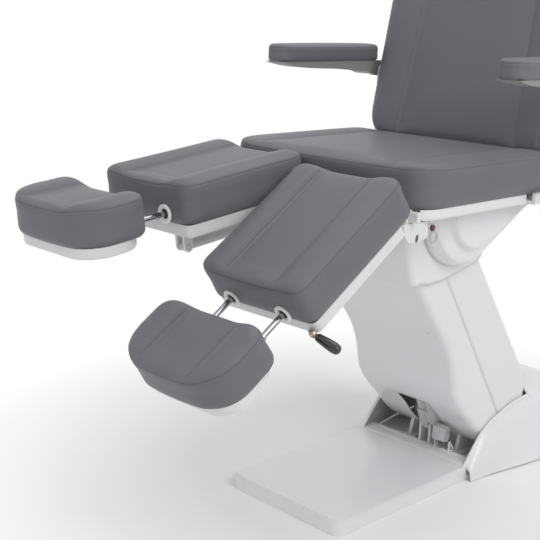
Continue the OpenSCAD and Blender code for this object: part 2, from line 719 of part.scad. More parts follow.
// White cover round the head: two side walls and a front wall, open below, behind and above.
// Its outline is given from the upper arm pivot, as shares of the hub radius.
head_cover_shares = [[-0.93, 0.6], [-0.97, 0.18], [-0.72, -0.63], [-0.26, -0.655], [0.22, -0.61],
    [1.17, -0.4], [1.29, -0.1], [1.33, 0.5]];
head_half = column_w/2 + move_gap*3.5;
module head_cover() {
    outline = [for (q = head_cover_shares) [head_y + q[0]*hub_r, head_z + q[1]*hub_r]];
    inner = concat([for (k = [0 : 2]) outline[k] + [cover_wall*1.3, k == 0 ? over : 0]],
        [outline[2] + [cover_wall*1.3, -hub_r]], [outline[7] + [over, -hub_r*2]],
        [outline[7] + [hub_r, over]]);
    color(cover_white) difference() {
        xplate(outline, -head_half, head_half);
        xplate(inner, -head_half + cover_wall, head_half - cover_wall);
        both() xplate([for (k = [0 : 2]) outline[k] + [-over, 0]], head_half - cover_wall/2,
            head_half + over);
    }
}

module tilt_shaft() {
    half = cheek_x + link_room + cheek_t*2 + move_gap + seat_gap;
    color(zinc) translate([0, tilt_y, tilt_z]) shaft(tilt_shaft_d, half + seat_gap);
}

// Tilt actuator beside the head, from the head bracket to a lever on the seat frame
tilt_lever_back = 103;
tilt_lever_down = 16;
tilt_lever_y = tilt_y + tilt_lever_back;
tilt_lever_z = tilt_z - tilt_lever_down;
tilt_len = norm([tilt_lever_y - motor_foot_y, tilt_lever_z - motor_foot_z]);
tilt_angle = atan2(motor_foot_y - tilt_lever_y, tilt_lever_z - motor_foot_z);
tilt_slack = 1.5;
tilt_body_r = 17;
module tilt_actuator_body() {
    length = tilt_len*0.66;
    color(motor_black) translate([tilt_motor_x, motor_foot_y, motor_foot_z]) rotate([tilt_angle, 0, 0])
        difference() {
            union() {
                xrod(eye_r, -eye_t/2, eye_t/2);
                block([-eye_t/2, -eye_r*0.8, 0], [eye_t/2, eye_r*0.8, eye_r*1.6]);
                translate([0, 0, eye_r*1.5]) cylinder(r = tilt_body_r, h = length - eye_r*1.5);
            }
            xrod(tilt_pin_d/2 + run_gap, -eye_t, eye_t);
            translate([0, 0, eye_r*2.5]) cylinder(r = rod_r + run_gap, h = length);
        }
}
module tilt_actuator_rod() {
    color(chrome) translate([tilt_motor_x, motor_foot_y, motor_foot_z]) rotate([tilt_angle, 0, 0])
        actuator_rod(tilt_len*0.45, tilt_len, tilt_pin_d, tilt_slack);
}

// Seat. Below, z = 0 is the top of the seat and y = 0 is its front edge.
pan_top = -seat_t;
pan_low = -seat_t - pan_h;
pan_wall = 2.5;
frame_low = pan_low + pan_wall + seat_gap/2;
rail_w = 30;
rail_x = cheek_x + link_room + cheek_t + move_gap + cheek_t/2;
seat_corner_r = 75;
seat_rear_r = 40;
seat_bow = 6;
seat_dish = 5;
seat_sizes = [seat_w, seat_l, seat_t, seat_corner_r, seat_rear_r, seat_bow, 0, seat_dish,
    seat_dish*0.8, seat_w*0.36, pad_channel, pad_soft, pad_crown];
module seat_cushion() {
    color(leatherette) on_seat() translate([0, 0, -seat_t]) pad(seat_sizes);
}

// White pan under the seat, with slots where the tilt lugs and the motor brackets pass
pan_in = 9;
pan_corner_r = 60;
module pan_slab(inset, z0, z1) {
    w = seat_w/2 - pan_in - inset;
    y0 = pan_in + inset;
    y1 = seat_l - pan_in - inset;
    r = pan_corner_r - inset;
    translate([0, 0, z0]) linear_extrude(z1 - z0) union() {
        translate([-w + r, y0]) square([2*w - 2*r, y1 - y0]);
        translate([-w, y0 + r]) square([2*w, y1 - y0 - 2*r]);
        for (s = [-1, 1]) for (t = [y0 + r, y1 - r]) translate([s*(w - r), t]) circle(r);
    }
}
module seat_pan() {
    slot_l = tilt_eye_r*2 + move_gap*4;
    color(cover_white) on_seat() difference() {
        union() {
            pan_slab(0, pan_low + pan_wall*1.6, pan_top - seat_gap);
            pan_slab(pan_wall*0.8, pan_low + pan_wall*0.5, pan_low + pan_wall*1.6);
            pan_slab(pan_wall*2, pan_low, pan_low + pan_wall*0.5);
        }
        pan_slab(pan_wall*3, pan_low + pan_wall, pan_top + over);
        both() block([rail_x - cheek_t/2 - seat_gap, tilt_back - slot_l/2, pan_low - over],
            [rail_x + cheek_t/2 + seat_gap, tilt_back + slot_l/2, pan_top + over]);
        block([tilt_motor_x - eye_t/2 - cheek_t*1.2, tilt_back + tilt_lever_back - eye_r*2,
            pan_low - over],
            [tilt_motor_x + eye_t/2 + cheek_t*1.2, tilt_back + tilt_lever_back + eye_r*2, pan_top
                + over]);
        block([back_motor_x - eye_t, motor_hang_y - eye_r*2, pan_low - over],
            [back_motor_x + eye_t, motor_hang_y + eye_r*2, pan_top + over]);
        block([back_motor_x - eye_t, seat_l - pan_in*5, pan_low - over], [back_motor_x + eye_t,
            seat_l + over, pan_top + over]);
        both() for (x = [hinge_in_x, hinge_out_x]) block([x - bracket_t, -over, pan_low - over],
            [x + bracket_t*2, hinge_plate_l + move_gap, pan_top + over]);
        both() block([gas_x - eye_t, -over, pan_low - over],
            [gas_x + eye_t, hinge_plate_l + move_gap, pan_top + over]);
        both() block([back_lug_x - bracket_t, seat_l - pan_in*8, pan_low - over],
            [back_lug_x + bracket_t*2, seat_l + over, pan_top + over]);
        both() block([seat_w/2 - pan_in*3, post_ahead - seat_gap, pan_low - over],
            [seat_w/2 + over, post_ahead + post_w + seat_gap, pan_top + over]);
    }
}

// Steel frame inside the pan, with lugs for the tilt shaft, the motors and the hinges
frame_h = pan_h - pan_wall - seat_gap*2;
// Back motor: its rod pushes a lever on the back frame along a line that is tilted a little
back_motor_x = 142;
back_motor_r = 90;
back_lever_lag = 32.5;
back_half_turn = 37;
back_line_share = 0.89;
back_reach = 340;
lever_turn = back_angle - back_lever_lag;
back_line_tilt = lever_turn - back_half_turn;
motor_hang_y = hinge_back + back_motor_r*back_line_share*sin(back_line_tilt)
    - back_reach*cos(back_line_tilt);
motor_hang_z = -hinge_drop - back_motor_r*back_line_share*cos(back_line_tilt)
    - back_reach*sin(back_line_tilt);
back_lug_in = 50;
back_lug_x = seat_w/2 - back_lug_in;
back_lug_r = 20;
hinge_in_room = 26;
hinge_in_x = leg_gap + hinge_in_room;
hinge_out_in = 38;
hinge_leg_in = 40;
hinge_out_x = min(seat_w/2 - hinge_out_in, leg_gap + leg_w - hinge_leg_in);
hinge_plate_l = 62;
gas_x = leg_gap + leg_w*0.34;
gas_reach_y = 41.5;
gas_reach_z = 46;
gas_anchor_y = -leg_hinge_ahead + gas_reach_y;
gas_anchor_z = -leg_hinge_drop - gas_reach_z;
gas_pin_d = 8;
module seat_frame() {
    z0 = frame_low;
    z1 = z0 + frame_h - seat_gap;
    front = pan_in*2.4;
    rear = seat_l - pan_in*2.4;
    tilt_place = [tilt_back, pan_low - tilt_drop];
    lever = [tilt_back + tilt_lever_back, pan_low - tilt_drop - tilt_lever_down];
    color(steel_grey) on_seat() difference() {
        union() {
            both() {
                block([rail_x - rail_w/2, front, z0], [rail_x + rail_w/2, rear, z1]);
                block([back_lug_x - rail_w/2, pan_in*4, z0], [back_lug_x + rail_w/2,
                    seat_l - pan_in*4, z1]);
                // Tilt lug
                xplate([[tilt_place[0] - tilt_eye_r, z0 + frame_h/2],
                    [tilt_place[0] - tilt_eye_r*0.9, tilt_place[1]],
                    [tilt_place[0] + tilt_eye_r*0.9, tilt_place[1]], [tilt_place[0] + tilt_eye_r,
                        z0 + frame_h/2]],
                    rail_x - cheek_t/2, rail_x + cheek_t/2);
                translate([0, tilt_place[0], tilt_place[1]])
                    xrod(tilt_eye_r*0.9, rail_x - cheek_t/2, rail_x + cheek_t/2);
                // Back hinge lug, which rises behind the seat cushion
                xplate([[seat_l - pan_in*7, z0], [hinge_back - back_lug_r*0.6, z0], [hinge_back
                    + back_lug_r, -hinge_drop],
                    [hinge_back, -hinge_drop + back_lug_r], [hinge_back - back_lug_r, -hinge_drop],
                    [seat_l + move_gap, pan_top - seat_gap*3], [seat_l - pan_in*7, z1]],
                    back_lug_x, back_lug_x + bracket_t);
            }
            for (y = [front, rear - rail_w, tilt_back - tilt_eye_r - rail_w*1.3])
                block([-back_lug_x, y, z0], [back_lug_x, y + rail_w, z1]);
            // Lever of the tilt motor
            block([-back_lug_x, lever[0] - rail_w/2, z0], [-rail_x, lever[0] + rail_w/2, z1]);
            for (s = [-1, 1]) link_bar([lever[0], z0], lever, eye_r*2,
                tilt_motor_x + s*(eye_t/2 + move_gap + cheek_t*0.3) - cheek_t*0.3,
                tilt_motor_x + s*(eye_t/2 + move_gap + cheek_t*0.3) + cheek_t*0.3);
            // Hanger of the back motor
            for (s = [-1, 1]) link_bar([motor_hang_y, z0], [motor_hang_y, motor_hang_z], eye_r*2,
                back_motor_x + s*(eye_t/2 + move_gap + cheek_t*0.3) - cheek_t*0.3,
                back_motor_x + s*(eye_t/2 + move_gap + cheek_t*0.3) + cheek_t*0.3);
            block([rail_x, motor_hang_y - rail_w/2, z0], [back_lug_x, motor_hang_y + rail_w/2, z1]);
        }
        translate([0, tilt_place[0], tilt_place[1]]) xrod(tilt_shaft_d/2 + run_gap, -seat_w/2, seat_w/2);
        translate([tilt_motor_x, lever[0], lever[1]]) xrod(tilt_pin_d/2 + run_gap, -eye_t, eye_t);
        translate([back_motor_x, motor_hang_y, motor_hang_z]) xrod(tilt_pin_d/2 + run_gap, -eye_t, eye_t);
        translate([0, hinge_back, -hinge_drop]) xrod(back_pin_d/2 + run_gap, -seat_w, seat_w);
    }
}

back_pin_d = 14;
module seat_pivot_pins() {
    lever_z = pan_low - tilt_drop - tilt_lever_down;
    reach = eye_t/2 + move_gap + cheek_t*0.6 + seat_gap;
    color(zinc) on_seat() {
        // Pins of the two motors
        translate([tilt_motor_x, tilt_back + tilt_lever_back, lever_z]) shaft(tilt_pin_d, reach);
        translate([back_motor_x, motor_hang_y, motor_hang_z]) shaft(tilt_pin_d, reach);
        // Pins of the back hinge, each with a collar between the two ears
        both() translate([0, hinge_back, -hinge_drop]) {
            side_pin(back_pin_d, back_lug_x - bracket_t*2 - move_gap*1.5,
                back_lug_x + bracket_t + seat_gap);
            xrod(back_pin_d/2 + pin_head, back_lug_x - bracket_t - move_gap/2 + run_gap,
                back_lug_x - run_gap);
        }
        // Pins of the leg hinges and the gas springs
        both() {
            translate([0, -leg_hinge_ahead, -leg_hinge_drop]) for (x = [hinge_in_x, hinge_out_x])
                side_pin(leg_pin_d, x - bracket_t - move_gap, x + bracket_t + seat_gap);
            translate([gas_x, gas_anchor_y, gas_anchor_z]) shaft(gas_pin_d, eye_t/2 + move_gap
                + bracket_t + seat_gap);
        }
    }
}

// White hinge plates below the front of the pan; the outer ones have an oval hole and a gusset
leg_pin_d = 10;
leg_eye_r = 15;
module leg_hinge_plates() {
    z1 = pan_low + pan_wall*0.4;
    h = -leg_hinge_drop;
    y0 = -leg_hinge_ahead;
    z_frame = frame_low - seat_gap/4;
    plate = [[y0, h - leg_eye_r], [y0 + leg_eye_r*1.1, h - leg_eye_r*1.4], [hinge_plate_l*0.55,
        pan_low - leg_eye_r*1.9],
        [hinge_plate_l, pan_low - leg_eye_r*0.7], [hinge_plate_l, z_frame], [pan_in*2.2, z_frame],
        [pan_in*0.6, pan_top - seat_gap*4], [-move_gap, pan_top - seat_gap*4], [y0, h + leg_eye_r]];
    color(frame_white) on_seat() both() {
        for (x = [hinge_in_x, hinge_out_x]) difference() {
            union() {
                xplate(plate, x, x + bracket_t);
                translate([0, y0, h]) xrod(leg_eye_r, x, x + bracket_t);
            }
            translate([0, y0, h]) xrod(leg_pin_d/2 + run_gap, 0, seat_w);
            link_bar([hinge_plate_l*0.36, pan_low - leg_eye_r*0.85], [hinge_plate_l*0.6,
                pan_low - leg_eye_r*0.75],
                leg_eye_r*0.6, x - over, x + bracket_t + over);
        }
        // Gas spring anchor
        for (s = [-1, 1]) difference() {
            union() {
                x = gas_x + s*(eye_t/2 + move_gap + bracket_t/2);
                xplate([[gas_anchor_y - leg_eye_r*0.74, gas_anchor_z], [gas_anchor_y
                    + leg_eye_r*0.74, gas_anchor_z],
                    [gas_anchor_y + leg_eye_r*2, z_frame], [gas_anchor_y - leg_eye_r*0.7, z_frame]],
                    x - bracket_t/2, x + bracket_t/2);
                translate([0, gas_anchor_y, gas_anchor_z]) xrod(leg_eye_r*0.75, x - bracket_t/2, x
                    + bracket_t/2);
            }
            translate([0, gas_anchor_y, gas_anchor_z]) xrod(gas_pin_d/2 + run_gap, 0, seat_w);
        }
    }
}

// Stepped hub covers below the seat, round the tilt axis. Each station is a place across and an
// outline radius, as shares of the cover's depth and of the hub radius.
hub_depth = 64;
hub_shares = [[0, 1], [0.3, 0.955], [0.5, 0.9], [0.64, 0.82], [0.66, 0.66], [0.9, 0.62], [1, 0.54]];
hub_tail = 290;
hub_lean = 58;
module hub_body(inset) {
    cy = tilt_back;
    cz = pan_low - tilt_drop;
    steps = 18;
    tail = hub_tail;
    rows = [for (q = hub_shares)
        let (r = q[1]*hub_r - inset, back_off = q[0] > 0.5 ? inset : (q[0] > 0 ? 0 : over*sign(inset)),
            x = head_half + move_gap + q[0]*hub_depth - back_off,
            top = pan_low + (inset > 0 ? over : 0), t0 = asin((top - cz)/r),
            ty = tail*(0.55 + 0.45*q[1]) - inset, turn = 180 + t0 - hub_lean)
        concat([for (s = [0 : steps]) let (t = 180 - t0 + s*turn/steps) [x, cy + r*cos(t), cz
            + r*sin(t)]],
            [[x, cy + ty, top]])];
    n = steps + 2;
    m = len(rows);
    points = [for (row = rows) each row];
    faces = concat(
        [for (k = [0 : m - 2]) for (s = [0 : n - 1])
            let (a = k*n + s, b = k*n + (s + 1) % n) each [[a, b + n, b], [a, a + n, b + n]]],
        [for (s = [1 : n - 2]) [0, s, s + 1]],
        [for (s = [1 : n - 2]) [(m - 1)*n, (m - 1)*n + s + 1, (m - 1)*n + s]]);
    polyhedron(points = points, faces = faces);
}
module hub_cover() {
    color(cover_white) on_seat() difference() {
        hub_body(0);
        hub_body(cover_wall);
    }
}

// Brackets that run back from the sides of the seat frame and up beside the backrest
post_front_in = 83;
post_ahead = seat_l - post_front_in;
post_w = 30;
post_t = 8;
post_gap = 6;
post_y = hinge_back + back_pin_d*3.6;
post_room = 14;
post_x = max(seat_w/2, back_w/2 + post_room) + post_gap;
post_bar = 24;
arm_pivot_drop = 26;
arm_pivot_z = arm_rise - arm_pivot_drop;
arm_pin_d = 12;
module armrest_brackets() {
    z0 = pan_low + pan_wall + seat_gap;
    color(frame_white) on_seat() both() difference() {
        union() {
            block([back_lug_x + rail_w/2, post_ahead, z0], [post_x + post_t, post_ahead + post_w,
                z0 + post_t]);
            block([post_x, post_ahead, z0], [post_x + post_t, post_y + post_w/2, z0 + post_bar]);
            block([post_x, post_y - post_w/2, z0], [post_x + post_t, post_y + post_w/2, arm_pivot_z]);
            translate([0, post_y, arm_pivot_z]) xrod(post_w/2, post_x, post_x + post_t);
        }
        translate([0, post_y, arm_pivot_z]) xrod(arm_pin_d/2 + run_gap, 0, seat_w);
    }
}

// Armrests: a moulded arm that turns on the bracket, and a pad on top. The arm's underside is
// given as shares of its length behind its tip and of its depth below the pad.
arm_x = post_x + post_t + move_gap/2;
arm_t = 10;
arm_deep = 40;
arm_under_shares = [[0, 0.03], [0.02, 0.1], [0.1, 0.26], [0.2, 0.38], [0.32, 0.44], [0.55, 0.5],
    [0.85, 0.72], [0.95, 1], [1.06, 1], [1.1, 0.8], [1.1, 0]];
module armrest_frame() {
    tip = post_y - arm_pad_l;
    color(frame_white) on_seat() {
        difference() {
            union() {
                xplate(concat([for (q = arm_under_shares) [tip + q[0]*(post_y - tip),
                    arm_rise - q[1]*arm_deep]],
                    [[tip, arm_rise]]), arm_x, arm_x + arm_pad_w*0.86);
            }
            translate([0, post_y, arm_pivot_z]) xrod(arm_pin_d/2 + run_gap, 0, seat_w);
            xplate([[post_y - post_w*1.1, arm_rise - arm_deep*2], [post_y + post_w*3,
                arm_rise - arm_deep*2],
                [post_y + post_w*3, arm_rise + over], [post_y - post_w*1.1, arm_rise + over]],
                arm_x + arm_t*1.6, arm_x + seat_w);
        }
        translate([0, post_y, arm_pivot_z]) xrod(arm_pin_d/2, post_x - pin_head, arm_x + arm_t*1.6
            + pin_head);
        for (x = [post_x - pin_head*2, arm_x + arm_t*1.6 + seat_gap]) translate([0, post_y, arm_pivot_z])
            xrod(arm_pin_d/2 + pin_head, x, x + pin_head*2 - seat_gap);
    }
}
arm_pad_t = 40;
arm_pad_front_r = 32;
arm_pad_rear_r = 24;
arm_pad_channel = 0.4;
arm_pad_sizes = [arm_pad_w, arm_pad_l, arm_pad_t, arm_pad_front_r, arm_pad_rear_r, 0, 0, 0, 0,
    arm_pad_w*0.25, arm_pad_channel, small_soft, pad_crown];
module armrest_pad() {
    color(leatherette) on_seat()
        translate([arm_x + arm_pad_w*0.43, post_y - arm_pad_l*1.02, arm_rise + seat_gap])
            pad(arm_pad_sizes);
}

// Back. Below, y = 0 is the back hinge, y runs up the backrest, and z is towards the sitter.
back_start = 12;
back_top = hinge_drop;
back_board_t = 14;
back_corner_r = 70;
back_top_r = 90;
back_bow = 10;
back_dish = 9;
back_sizes = [back_w, back_l, back_t, back_corner_r, back_top_r, back_bow, back_bow, back_dish,
    back_dish, back_w*0.31, pad_channel, pad_soft, pad_crown*1.6];
module back_cushion() {
    color(leatherette) on_back() translate([0, back_start, back_top - back_t]) pad(back_sizes);
}
back_low = back_top - back_t - seat_gap;
module back_frame() {
    z1 = back_low - seat_gap;
    z0 = z1 - back_board_t;
    x = back_lug_x - bracket_t - move_gap/2;
    lever = back_motor_r*[-sin(back_lever_lag), -cos(back_lever_lag)];
    color(steel_grey) on_back() difference() {
        union() {
            both() {
                block([x - rail_w, back_start + rail_w*0.4, z0], [x, back_l*0.9, z1]);
                // Hinge ear from the rail down to the pin
                xplate([[-back_lug_r*0.8, -back_lug_r*0.6], [0, -back_lug_r], [back_start
                    + rail_w*0.8, z0],
                    [back_start + rail_w*1.9, z0], [back_start + rail_w*1.9, z1 - seat_gap],
                    [back_start - seat_gap, z1 - seat_gap], [back_lug_r*0.5, back_lug_r*0.4]],
                    x - bracket_t, x);
                xrod(back_lug_r*0.9, x - bracket_t, x);
            }
            for (y = [back_start + rail_w*0.4, back_l*0.45, back_l*0.9 - rail_w])
                block([-x, y, z0], [x, y + rail_w, z1]);
            // Thin sheet that closes the frame
            block([-x, back_start + rail_w*0.5, z1 - pan_wall], [x, back_l*0.89, z1 - seat_gap]);
            // Lever for the back motor
            for (s = [-1, 1]) link_bar([back_start + rail_w, z1 - eye_r - seat_gap], lever, eye_r*2,
                back_motor_x + s*(eye_t/2 + move_gap + cheek_t*0.3) - cheek_t*0.3,
                back_motor_x + s*(eye_t/2 + move_gap + cheek_t*0.3) + cheek_t*0.3);
            translate([back_motor_x, lever[0], lever[1]]) xrod(tilt_pin_d/2, -eye_t/2 - move_gap*2,
                eye_t/2 + move_gap*2);
        }
        xrod(back_pin_d/2 + run_gap, -seat_w, seat_w);
    }
}

// Back motor: its body hangs under the seat, and its rod ends in a slotted eye
back_len = back_reach + back_motor_r*sin(back_half_turn);
back_turn = back_line_tilt - 90;
back_slack = 2.2;
back_slot = back_motor_r*0.125;
module back_actuator_body() {
    length = back_len*0.6;
    color(motor_black) on_seat() translate([back_motor_x, motor_hang_y, motor_hang_z])
        rotate([back_turn, 0, 0]) difference() {
            union() {
                xrod(eye_r, -eye_t/2, eye_t/2);
                block([-eye_t/2, -eye_r*0.8, 0], [eye_t/2, eye_r*0.8, eye_r*1.6]);
                translate([0, 0, eye_r*1.5]) cylinder(r = tilt_body_r, h = length - eye_r*1.5);
            }
            xrod(tilt_pin_d/2 + run_gap, -eye_t, eye_t);
            translate([0, 0, eye_r*2.5]) cylinder(r = rod_r + run_gap, h = length);
        }
}
module back_actuator_rod() {
    color(chrome) on_seat() translate([back_motor_x, motor_hang_y, motor_hang_z])
        rotate([back_turn, 0, 0]) difference() {
            union() {
                translate([0, 0, back_len*0.4]) cylinder(r = rod_r, h = back_len*0.6 - eye_r);
                link_bar([-back_slot, back_len], [back_slot, back_len], eye_r*2, -eye_t/2, eye_t/2);
            }
            link_bar([-back_slot, back_len], [back_slot, back_len], tilt_pin_d + back_slack*2,
                -eye_t, eye_t);
        }
}

// Moulded shell over the rear of the back frame
shell_deep = 46;
module back_shell() {
    z1 = back_low - seat_gap;
    w = back_w/2 - pan_in*2;
    y0 = back_start + rail_w*3.4;
    y1 = back_start + back_l - pan_in*3;
    module body(inset, deep) {
        hull() {
            for (s = [-1, 1]) for (y = [y0 + pan_corner_r, y1 - pan_corner_r])
                translate([s*(w - pan_corner_r), y, z1 - pan_wall*2])
                    cylinder(r = pan_corner_r - inset, h = pan_wall*2 + (inset > 0 ? over : 0), $fn = 32);
            for (s = [-1, 1]) for (y = [y0 + pan_corner_r*1.4, y1 - pan_corner_r*1.4])
                translate([s*(w - pan_corner_r*1.5), y, z1 - deep])
                    cylinder(r = pan_corner_r - inset, h = pan_wall, $fn = 32);
        }
    }
    rail = back_lug_x - bracket_t - move_gap/2;
    color(cover_white) on_back() difference() {
        body(0, shell_deep);
        body(pan_wall, shell_deep - pan_wall);
        block([-rail - move_gap, y0 - rail_w, z1 - back_board_t - seat_gap*2], [rail + move_gap, y0
            + rail_w, z1 + over]);
        both() translate([head_rod_half, y1 - rail_w*2, head_rod_z]) rotate([-90, 0, 0])
            cylinder(d = head_rod_d + seat_gap*4, h = rail_w*3);
    }
}

// Headrest: two rods in guides on the back frame, and a cushion
head_rod_d = 12;
head_rod_half = 60;
head_gap = 40;
head_rod_z = back_low - seat_gap - back_board_t - head_rod_d*0.75;
module headrest_guides() {
    y1 = back_l*0.9;
    color(motor_black) on_back() both() difference() {
        block([head_rod_half - head_rod_d, y1 - rail_w, head_rod_z - head_rod_d*0.9],
            [head_rod_half + head_rod_d, y1, back_low - seat_gap*2 - back_board_t]);
        translate([head_rod_half, y1 - rail_w - over, head_rod_z]) rotate([-90, 0, 0])
            cylinder(d = head_rod_d + run_gap*2, h = rail_w + over*2);
    }
}
module headrest_rods() {
    y0 = back_l*0.72;
    y1 = back_start + back_l + head_gap + head_l*0.7;
    z_pad = back_top - head_t - seat_gap;
    color(chrome) on_back() {
        both() translate([head_rod_half, y0, head_rod_z]) rotate([-90, 0, 0])
            cylinder(d = head_rod_d, h = y1 - y0);
        difference() {
            block([-head_rod_half - head_rod_d, y1 - head_l*0.5, head_rod_z],
                [head_rod_half + head_rod_d, y1 - over, z_pad]);
            block([-head_rod_half + head_rod_d, y1 - head_l, head_rod_z - over],
                [head_rod_half - head_rod_d, y1, z_pad - pan_wall*2]);
            both() translate([head_rod_half, y0, head_rod_z]) rotate([-90, 0, 0])
                cylinder(d = head_rod_d - seat_gap, h = y1 - y0 + over);
        }
    }
}
head_low_r = 45;
head_top_r = 55;
head_bow = 6;
head_dish = 6;
head_sizes = [head_w, head_l, head_t, head_low_r, head_top_r, head_bow, head_bow, head_dish,
    head_dish, head_w*0.26, pad_channel*0.6, small_soft, pad_crown];
module headrest_cushion() {
    color(leatherette) on_back()
        translate([0, back_start + back_l + head_gap, back_top - head_t]) pad(head_sizes);
}

// Leg rests. Below, the leg's hinge is the origin, y = 0, and the leg points to -Y.
leg_top = leg_hinge_drop;
leg_x = leg_gap + leg_w/2;
calf_clear = 7;
calf_rear = leg_hinge_ahead - calf_clear;
calf_front = calf_rear - calf_l;
foot_rear = calf_front - foot_gap;
foot_front = foot_rear - foot_l;
rod_z = leg_hinge_drop*0.337;
tray_in = 7;
calf_low = leg_top - calf_t;
foot_low = leg_top - foot_t;
calf_front_r = 24;
calf_rear_r = 22;
calf_dish = 16;
calf_sizes = [leg_w, calf_l, calf_t, calf_front_r, calf_rear_r, 0, 0, calf_dish, calf_dish*0.45,
    rod_half, pad_channel*0.8, pad_soft, pad_crown];
foot_front_r = 74;
foot_rear_r = 34;
foot_bow = 12;
foot_dish = 8;
foot_sizes = [leg_w, foot_l, foot_t, foot_front_r, foot_rear_r, foot_bow, foot_bow/2, foot_dish,
    foot_dish, rod_half, pad_channel*0.8, pad_soft, pad_crown];
rod_bore = rod_d/2 + seat_gap;
calf_bore_l = calf_l*0.86;

module calf_cushion(side) {
    color(leatherette) on_leg(side) difference() {
        translate([leg_x, calf_front, calf_low]) pad(calf_sizes);
        for (s = [-1, 1]) translate([leg_x + s*rod_half, calf_front - over*5, rod_z]) rotate([-90, 0, 0])
            cylinder(r = rod_bore, h = calf_bore_l);
    }
}

// Shallow tray with rounded corners and an open top
module tray(x0, x1, y0, y1, z0, z1, r) {
    module slab(inset, za, zb) {
        translate([0, 0, za]) linear_extrude(zb - za) union() {
            translate([x0 + r, y0 + inset]) square([x1 - x0 - 2*r, y1 - y0 - 2*inset]);
            translate([x0 + inset, y0 + r]) square([x1 - x0 - 2*inset, y1 - y0 - 2*r]);
            for (x = [x0 + r, x1 - r]) for (y = [y0 + r, y1 - r]) translate([x, y]) circle(r - inset);
        }
    }
    difference() {
        union() {
            slab(0, z0 + pan_wall, z1);
            slab(pan_wall*0.7, z0, z0 + pan_wall);
        }
        slab(pan_wall, z0 + pan_wall, z1 + over);
    }
}

leg_arm_l = 120;
module calf_tray(side) {
    z1 = calf_low - seat_gap;
    z0 = z1 - tray_h;
    x0 = leg_gap + tray_in;
    x1 = leg_gap + leg_w - tray_in;
    slot = tray_h*0.4;
    color(frame_white) on_leg(side) {
        difference() {
            union() {
                tray(x0, x1, calf_front + tray_in, -leg_eye_r*1.6, z0, z1, tray_in*2);
                // Hinge arms under the tray, which end in eyes
                for (x = [hinge_in_x, hinge_out_x]) {
                    xplate([[-leg_arm_l, z0 + pan_wall/2], [-leg_arm_l*0.8, z0 - leg_eye_r*0.8], [0,
                        -leg_eye_r],
                        [0, leg_eye_r*0.2], [-leg_eye_r*1.7, z0 + pan_wall/2]],
                        x - bracket_t - move_gap/2, x - move_gap/2);
                    xrod(leg_eye_r, x - bracket_t - move_gap/2, x - move_gap/2);
                }
                // Fork of the gas spring
                for (s = [-1, 1]) link_bar([gas_foot_y, z0 + pan_wall/2], [gas_foot_y, gas_z],
                    leg_eye_r*1.5,
                    gas_x + s*(eye_t/2 + move_gap) - bracket_t/2, gas_x + s*(eye_t/2 + move_gap)
                        + bracket_t/2);
            }
            xrod(leg_pin_d/2 + run_gap, 0, seat_w);
            translate([0, gas_foot_y, gas_z]) xrod(gas_pin_d/2 + run_gap, 0, seat_w);
            // Relief for the hinge plates of the seat
            for (x = [hinge_in_x, hinge_out_x]) block([x - move_gap/2, -leg_eye_r*4, -leg_eye_r*4],
                [x + bracket_t + move_gap*2, leg_eye_r*2, z1 + over]);
        }
    }
}

// White flanges on the front of the calf cushion, where the rods enter
flange_t = 5;
flange_y = calf_front - flange_t - seat_gap*3;
module rod_flanges(side) {
    color(frame_white) on_leg(side) for (s = [-1, 1])
        translate([leg_x + s*rod_half, flange_y, rod_z]) rotate([-90, 0, 0]) difference() {
            union() {
                cylinder(d = flange_d, h = flange_t);
                translate([0, 0, -flange_t*0.5]) cylinder(d = flange_d*0.62, h = flange_t);
                translate([0, 0, -flange_t]) cylinder(d = rod_d*1.5, h = flange_t*1.5);
            }
            translate([0, 0, -flange_t]) cylinder(r = rod_d/2 + run_gap, h = flange_t*5);
        }
}

// Rods of the foot rest: each has a thicker collar midway in the gap
collar_d = rod_d*1.35;
module foot_rods(side) {
    back = calf_front + calf_l*0.62;
    front = foot_rear - foot_l*0.55;
    color(chrome) on_leg(side) for (s = [-1, 1]) translate([leg_x + s*rod_half, 0, rod_z]) {
        translate([0, front, 0]) rotate([-90, 0, 0]) cylinder(d = rod_d, h = back - front);
        translate([0, foot_rear - flange_t, 0]) rotate([-90, 0, 0]) cylinder(d = collar_d,
            h = foot_gap*0.3);
    }
}

module foot_cushion(side) {
    color(leatherette) on_leg(side) difference() {
        translate([leg_x, foot_front, foot_low]) pad(foot_sizes);
        for (s = [-1, 1]) translate([leg_x + s*rod_half, foot_rear - foot_l*0.55 - seat_gap, rod_z])
            rotate([-90, 0, 0]) cylinder(r = rod_bore, h = foot_l);
        for (s = [-1, 1]) translate([leg_x + s*rod_half, foot_rear - flange_t*2, rod_z])
            rotate([-90, 0, 0]) cylinder(r = collar_d/2 + seat_gap, h = foot_l);
    }
}

module foot_tray(side) {
    z1 = foot_low - seat_gap;
    inset = tray_in*1.2;
    r = foot_l*0.38;
    color(frame_white) on_leg(side)
        tray(leg_gap + inset, leg_gap + leg_w - inset, foot_front + inset*1.6, foot_rear - inset,
            z1 - tray_h*0.85, z1, r);
}

